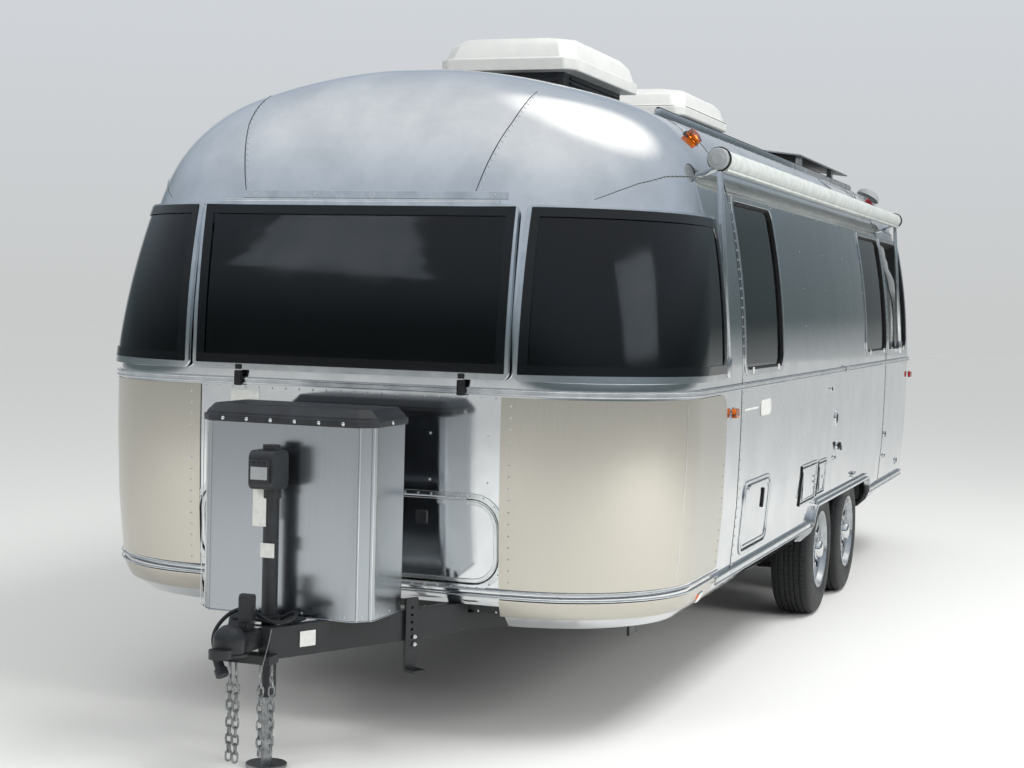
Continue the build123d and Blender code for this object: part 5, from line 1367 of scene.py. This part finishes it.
lamp_bases = []
for x, z in ((2.095, 1.262), (-3.545, 1.257)):
    for side in (1, -1):
        lamp_bases.append(laid_plate((x - 0.042, x + 0.042), (z - 0.024, z + 0.024), 0.010, ON_SKIN, 0.0040,
                                     side=side))
show("side_lamp_bases", joined(lamp_bases), "caravan", [moulding])
CORNER_LAMP, CORNER_OUT = Vector((2.075, 1.062, 2.436)), Vector((0.12, 0.80, 0.58)).normalized()
LAMP_RING = ((0.0365, -0.020), (0.043, -0.020), (0.043, 0.002), (0.041, 0.005), (0.0365, 0.005),
             (0.0365, -0.020))
lamp_rings = []
for side in (1, -1):
    out = Vector((CORNER_OUT.x, side * CORNER_OUT.y, CORNER_OUT.z))
    ring = upright(LAMP_RING)
    turn = out.to_track_quat("Z", "X").to_matrix().to_4x4()
    at = Vector((CORNER_LAMP.x, side * CORNER_LAMP.y, CORNER_LAMP.z))
    bmesh.ops.transform(ring, matrix=Matrix.Translation(at) @ turn, verts=ring.verts)
    lamp_rings.append(ring)
show("corner_lamp_rings", joined(lamp_rings), "caravan", [black_plastic])
low_lamp = laid_plate((2.400, 2.478), (0.499, 0.541), 0.0205, 0.0, 0.012)
edged(show("low_side_lamp", low_lamp, "caravan", [amber_lens]), 0.004)
tail_frames = []
for side in (1, -1):
    for v in ((0.694, 0.796), (0.794, 0.896)):
        tail_frames.append(laid_plate((0.632, 0.768), v, 0.016, ON_SKIN, 0.0100, 0.009, nose_place,
                                      side=side, end=-1))
trim("tail_lamp_frames", joined(tail_frames), "caravan", 0.0015)

# The stone guards' panes have blacked-out borders, which leave only a thin bright rim of the frame
GUARD_SPAN_Z = (1.440, 2.074)
GUARD_CORNER = (0.716, 2.336)        # y of the corner guards' inner rim, x of their rear rim
GUARD_BORDER = dict(radius=0.004, low=0.0244, high=0.0258, hole=0.036, slices=0.04)


def wrap_lengths(v):
    """How far a corner guard runs at a height: straight, round the corner (with its angles), straight."""
    cx, cy, r = corner(v)
    first = math.asin(max(0.0, (GUARD_CORNER[0] - cy) / r))
    last = math.acos(max(0.0, (GUARD_CORNER[1] - cx) / r))
    flat, back = max(0.0, cy - GUARD_CORNER[0]), max(0.0, cx - GUARD_CORNER[1])
    return flat, first, last, flat + (last - first) * r + back


WRAP = wrap_lengths(sum(GUARD_SPAN_Z) / 2)[3]


def wrap_place(u, v, off):
    """On a corner guard: u runs along it from the face round to the flank, v is z."""
    cx, cy, r = corner(v)
    flat, first, last, length = wrap_lengths(v)
    run = u / WRAP * length
    if run < flat:
        return Vector((cx + r, GUARD_CORNER[0] + run, v))
    turn = first + (run - flat) / r
    if turn < last:
        return Vector((cx + r * math.cos(turn), cy + r * math.sin(turn), v))
    return Vector((cx - (run - flat - (last - first) * r), cy + r, v))


def strip_place(u, v, off):
    """On the middle guard, which doesn't turn back towards the corners: u is y and v is z."""
    return Vector((on_skin(v, y=0.0).x, u, v))


front_border = laid_plate((-0.664, 0.664), GUARD_SPAN_Z, place=strip_place, **GUARD_BORDER)
show("front_guard_border", front_border, "stone_guard", [pane_border])
corner_borders = [laid_plate((0.0, WRAP), GUARD_SPAN_Z, place=wrap_place, side=side, **GUARD_BORDER)
                  for side in (1, -1)]
show("corner_guard_borders", joined(corner_borders), "caravan", [pane_border])

# The stone guard hangs on a strip over the end glass; two rubber latches hold it down
strip = laid_plate((-0.520, 0.620), (2.108, 2.138), 0.004, ON_SKIN, 0.0060, place=nose_place)
trim("guard_hinge_strip", strip, "caravan", 0.001)
flange_rivets += [seat(u, 2.123, STRIP_TOP) for u in (-0.47, -0.20, 0.06, 0.32, 0.57)]
repeated("fitting_rivets", dome(RIVET_R, RIVET_H), flange_rivets, "caravan",
         [rivet_metal])
LATCH_Y = (-0.470, 0.490)
latches = [beam((3.2480, 3.2680), (y - 0.016, y + 0.016), (1.352, 1.4125), 0.005) for y in LATCH_Y]
hooks = [beam((3.2595, 3.2680), (y - 0.012, y + 0.012), (1.4170, 1.4370), 0.003) for y in LATCH_Y]
show("guard_latches", joined(latches), "caravan", [rubber])
show("guard_latch_hooks", joined(hooks), "stone_guard", [rubber])

# Where the belt moulding's lengths meet, a short cover sits over the joint
cover = laid_plate((-0.800, -0.740), (1.351, 1.391), 0.003, 0.0120, 0.0175)
trim("belt_joint_cover", cover, "caravan", 0.0015)
SHIELD_FOLD_X = 2.812
fold = [on_skin(z, x=SHIELD_FOLD_X, off=SHIELD_OFF) for z in (0.615, 0.75, 0.95, 1.15, 1.34)]
folds = [mirrored(fold, side) for side in (1, -1)]
bead("shield_folds", folds, 0.0016, "caravan", polished)
print("fittings done")

# %% [markdown]
# The roof has its own things: a long cable trough along each edge, two curved dark panes on each
# side over the awning, a small dome, and the louvres of the air conditioners.

# %% Roof fittings
# Roof glazing seen from outside: near black and glossy
dark_pane = finish("dark_roof_glazing", "14181B", 0.0, 0.06, 0.03, 300, Coat_Weight=0.6)
pane_rings, panes = [], []
for side in (1, -1):
    for u in ((-2.330, -1.500), (-3.280, -2.440)):
        pane_rings.append(laid_plate(wider(u, 0.018), (2.405, 2.515), 0.030, ON_SKIN, 0.0080, 0.022,
                                     side=side))
        panes.append(laid_plate(u, (2.424, 2.496), 0.012, ON_SKIN, 0.0050, side=side, slices=0.03))
trim("roof_pane_rings", joined(pane_rings), "caravan", 0.002)
show("roof_panes", joined(panes), "caravan", [dark_pane])
troughs, seals = [], []
for side in (1, -1):
    low, high = sorted((side * 0.790, side * 0.822))
    troughs.append(beam((-3.600, 1.700), (low, high), (2.560, 2.612), 0.006))
    seals.append(beam((-3.600, 1.700), (low + 0.008, high - 0.008), (2.610, 2.618), 0.003))
show("roof_troughs", joined(troughs), "caravan", [moulding])
show("roof_trough_seals", joined(seals), "caravan", [rubber])
dome_at = Vector((-3.500, 0.960, ROOF_Z - ROOF_R + math.sqrt(ROOF_R ** 2 - 0.960 ** 2)))
repeated("roof_dome", dome(0.085, 0.060, 28, 5), [(dome_at, skin_normal(dome_at))], "caravan",
         [grey_plastic])

UNITS = ((0.460, 1.545), (0.460 - 2.075, 1.545 - 2.075))
UNIT_HALF_Y, UNIT_BASE_IN = 0.345, 0.070
louvres, recesses = [], []
for rear, front in UNITS:
    for side in (1, -1):
        y = side * (UNIT_HALF_Y - UNIT_BASE_IN)
        for i in range(5):
            z = 2.700 + 0.022 * i
            low, high = sorted((y, y + side * 0.012))
            louvres.append(beam((rear + 0.120, front - 0.160), (low, high), (z, z + 0.009), 0.002))
    x = front - UNIT_BASE_IN
    for i in range(5):
        z = 2.704 + 0.022 * i
        louvres.append(beam((x - 0.001, x + 0.010), (-0.240, 0.240), (z, z + 0.009), 0.002))
    recesses.append(beam((rear + 0.340, front - 0.320), (-0.200, 0.200), (2.9885, 2.9915), 0.001))
show("unit_louvres", joined(louvres), "caravan", [black_plastic])
show("unit_top_pads", joined(recesses), "caravan", [white_plastic])
print("roof done")

# %% [markdown]
# The entry door has a lever latch and a folding grab rail beside it. The latch's plate and the
# rail are plated metal; the lever is black plastic.

# %% Door hardware
HANDLE_X, HANDLE_Z = 0.415, 1.240
plate = laid_plate((HANDLE_X - 0.034, HANDLE_X + 0.034), (HANDLE_Z - 0.085, HANDLE_Z + 0.085), 0.016,
                   ON_SKIN, 0.0070, side=-1)
show("door_latch_plate", plate, "door", [chrome])
lever_y = -half_width(HANDLE_Z)
lever = beam((HANDLE_X - 0.020, HANDLE_X + 0.020), (lever_y - 0.034, lever_y - 0.006),
             (HANDLE_Z - 0.050, HANDLE_Z + 0.040), 0.007, 3)
show("door_lever", lever, "door", [black_plastic])
rail_path = []
for z, off in ((1.080, 0.0), (1.085, 0.045), (1.110, 0.060), (1.500, 0.060), (1.525, 0.045), (1.530, 0.0)):
    rail_path.append(Vector((0.280, -half_width(z) - off, z)))
bead("grab_rail", [resample(rail_path, 0.012)], 0.011, "caravan", chrome, sides=3)

# %% [markdown]
# Through the glass the cabin shows a made bed, a lounge and a galley. Mattress and cushions are
# soft: each is a box with bulged faces and rounded edges.

# %% Cabin
def cushion(name, x, y, z):
    """A padded block: subdivided, swollen in the middle and rounded."""
    bm = bmesh.new()
    bmesh.ops.create_cube(bm, size=1)
    bmesh.ops.subdivide_edges(bm, edges=bm.edges[:], cuts=7, use_grid_fill=True)
    size = Vector((x[1] - x[0], y[1] - y[0], z[1] - z[0]))
    middle = Vector((x[0] + x[1], y[0] + y[1], z[0] + z[1])) / 2
    swell = 0.035
    for vert in bm.verts:
        p = vert.co
        fall = [max(0.0, 1 - (2 * abs(v)) ** 4) for v in p]
        push = Vector((math.copysign(swell * fall[1] * fall[2], p.x) if abs(p.x) > 0.499 else 0,
                       math.copysign(swell * fall[0] * fall[2], p.y) if abs(p.y) > 0.499 else 0,
                       math.copysign(swell * fall[0] * fall[1], p.z) if abs(p.z) > 0.499 else 0))
        vert.co = Vector([p[i] * (size[i] - 2 * swell) for i in range(3)]) + push + middle
    corners = [e for e in bm.edges if e.calc_face_angle(0) > math.radians(60)]
    bmesh.ops.bevel(bm, geom=corners, affect="EDGES", offset=0.018, offset_type="OFFSET", segments=3,
                    profile=0.5, material=-1)
    for face in bm.faces:
        face.smooth = True
    return show(name, bm, "caravan", [cloth])


def cut_down(node, level, ahead, behind):
    """The base of a piece of furniture: between two x, its copy is cut off at a level and closed."""
    bm = clean_mesh(node)
    chosen = [face for face in bm.faces if behind < face.calc_center_median().x < ahead]
    parts = chosen + list({e for f in chosen for e in f.edges}) + list({v for f in chosen for v in f.verts})
    bmesh.ops.bisect_plane(bm, geom=parts, plane_co=(0, 0, level), plane_no=(0, 0, 1), clear_outer=True)
    bmesh.ops.holes_fill(bm, edges=[edge for edge in bm.edges if edge.is_boundary], sides=0)
    return show(node + "_base", bm, "caravan", [wood], [node])


edged(cut_down("front_bed", 0.935, 3.1, 1.4), 0.004)
edged(cut_down("rear_lounge", 0.860, -2.75, -3.8), 0.004)
CUSHIONS = [             # name, node, x, y, z, fill
    ("bed_mattress", "front_bed", (1.500, 3.000), (-0.640, 0.640), (0.920, 1.140), 0.9),
    ("bed_pillow_left", "front_bed", (2.560, 2.900), (0.060, 0.560), (1.125, 1.260), 0.6),
    ("bed_pillow_right", "front_bed", (2.560, 2.900), (-0.560, -0.060), (1.125, 1.260), 0.6),
]
for i, y in enumerate(((-1.010, -0.336), (-0.336, 0.336), (0.336, 1.010))):
    CUSHIONS.append(("lounge_seat_%d" % i, "rear_lounge", (-3.500, -2.880), y, (0.845, 1.010), 0.8))
    CUSHIONS.append(("lounge_back_%d" % i, "rear_lounge", (-3.630, -3.470), y, (0.980, 1.345), 0.7))
for name, node, x, y, z, fill in CUSHIONS:
    piece = cushion(name, x, y, z)
    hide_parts(node)
fronts = [beam((x, x + 0.355), (0.630, 0.6405), (0.560, 1.340), 0.004)
          for x in (-0.590, -0.225, 0.140, 0.505)]
show("galley_fronts", joined(fronts), "caravan", [wood])
print(len(CUSHIONS), "cushions")
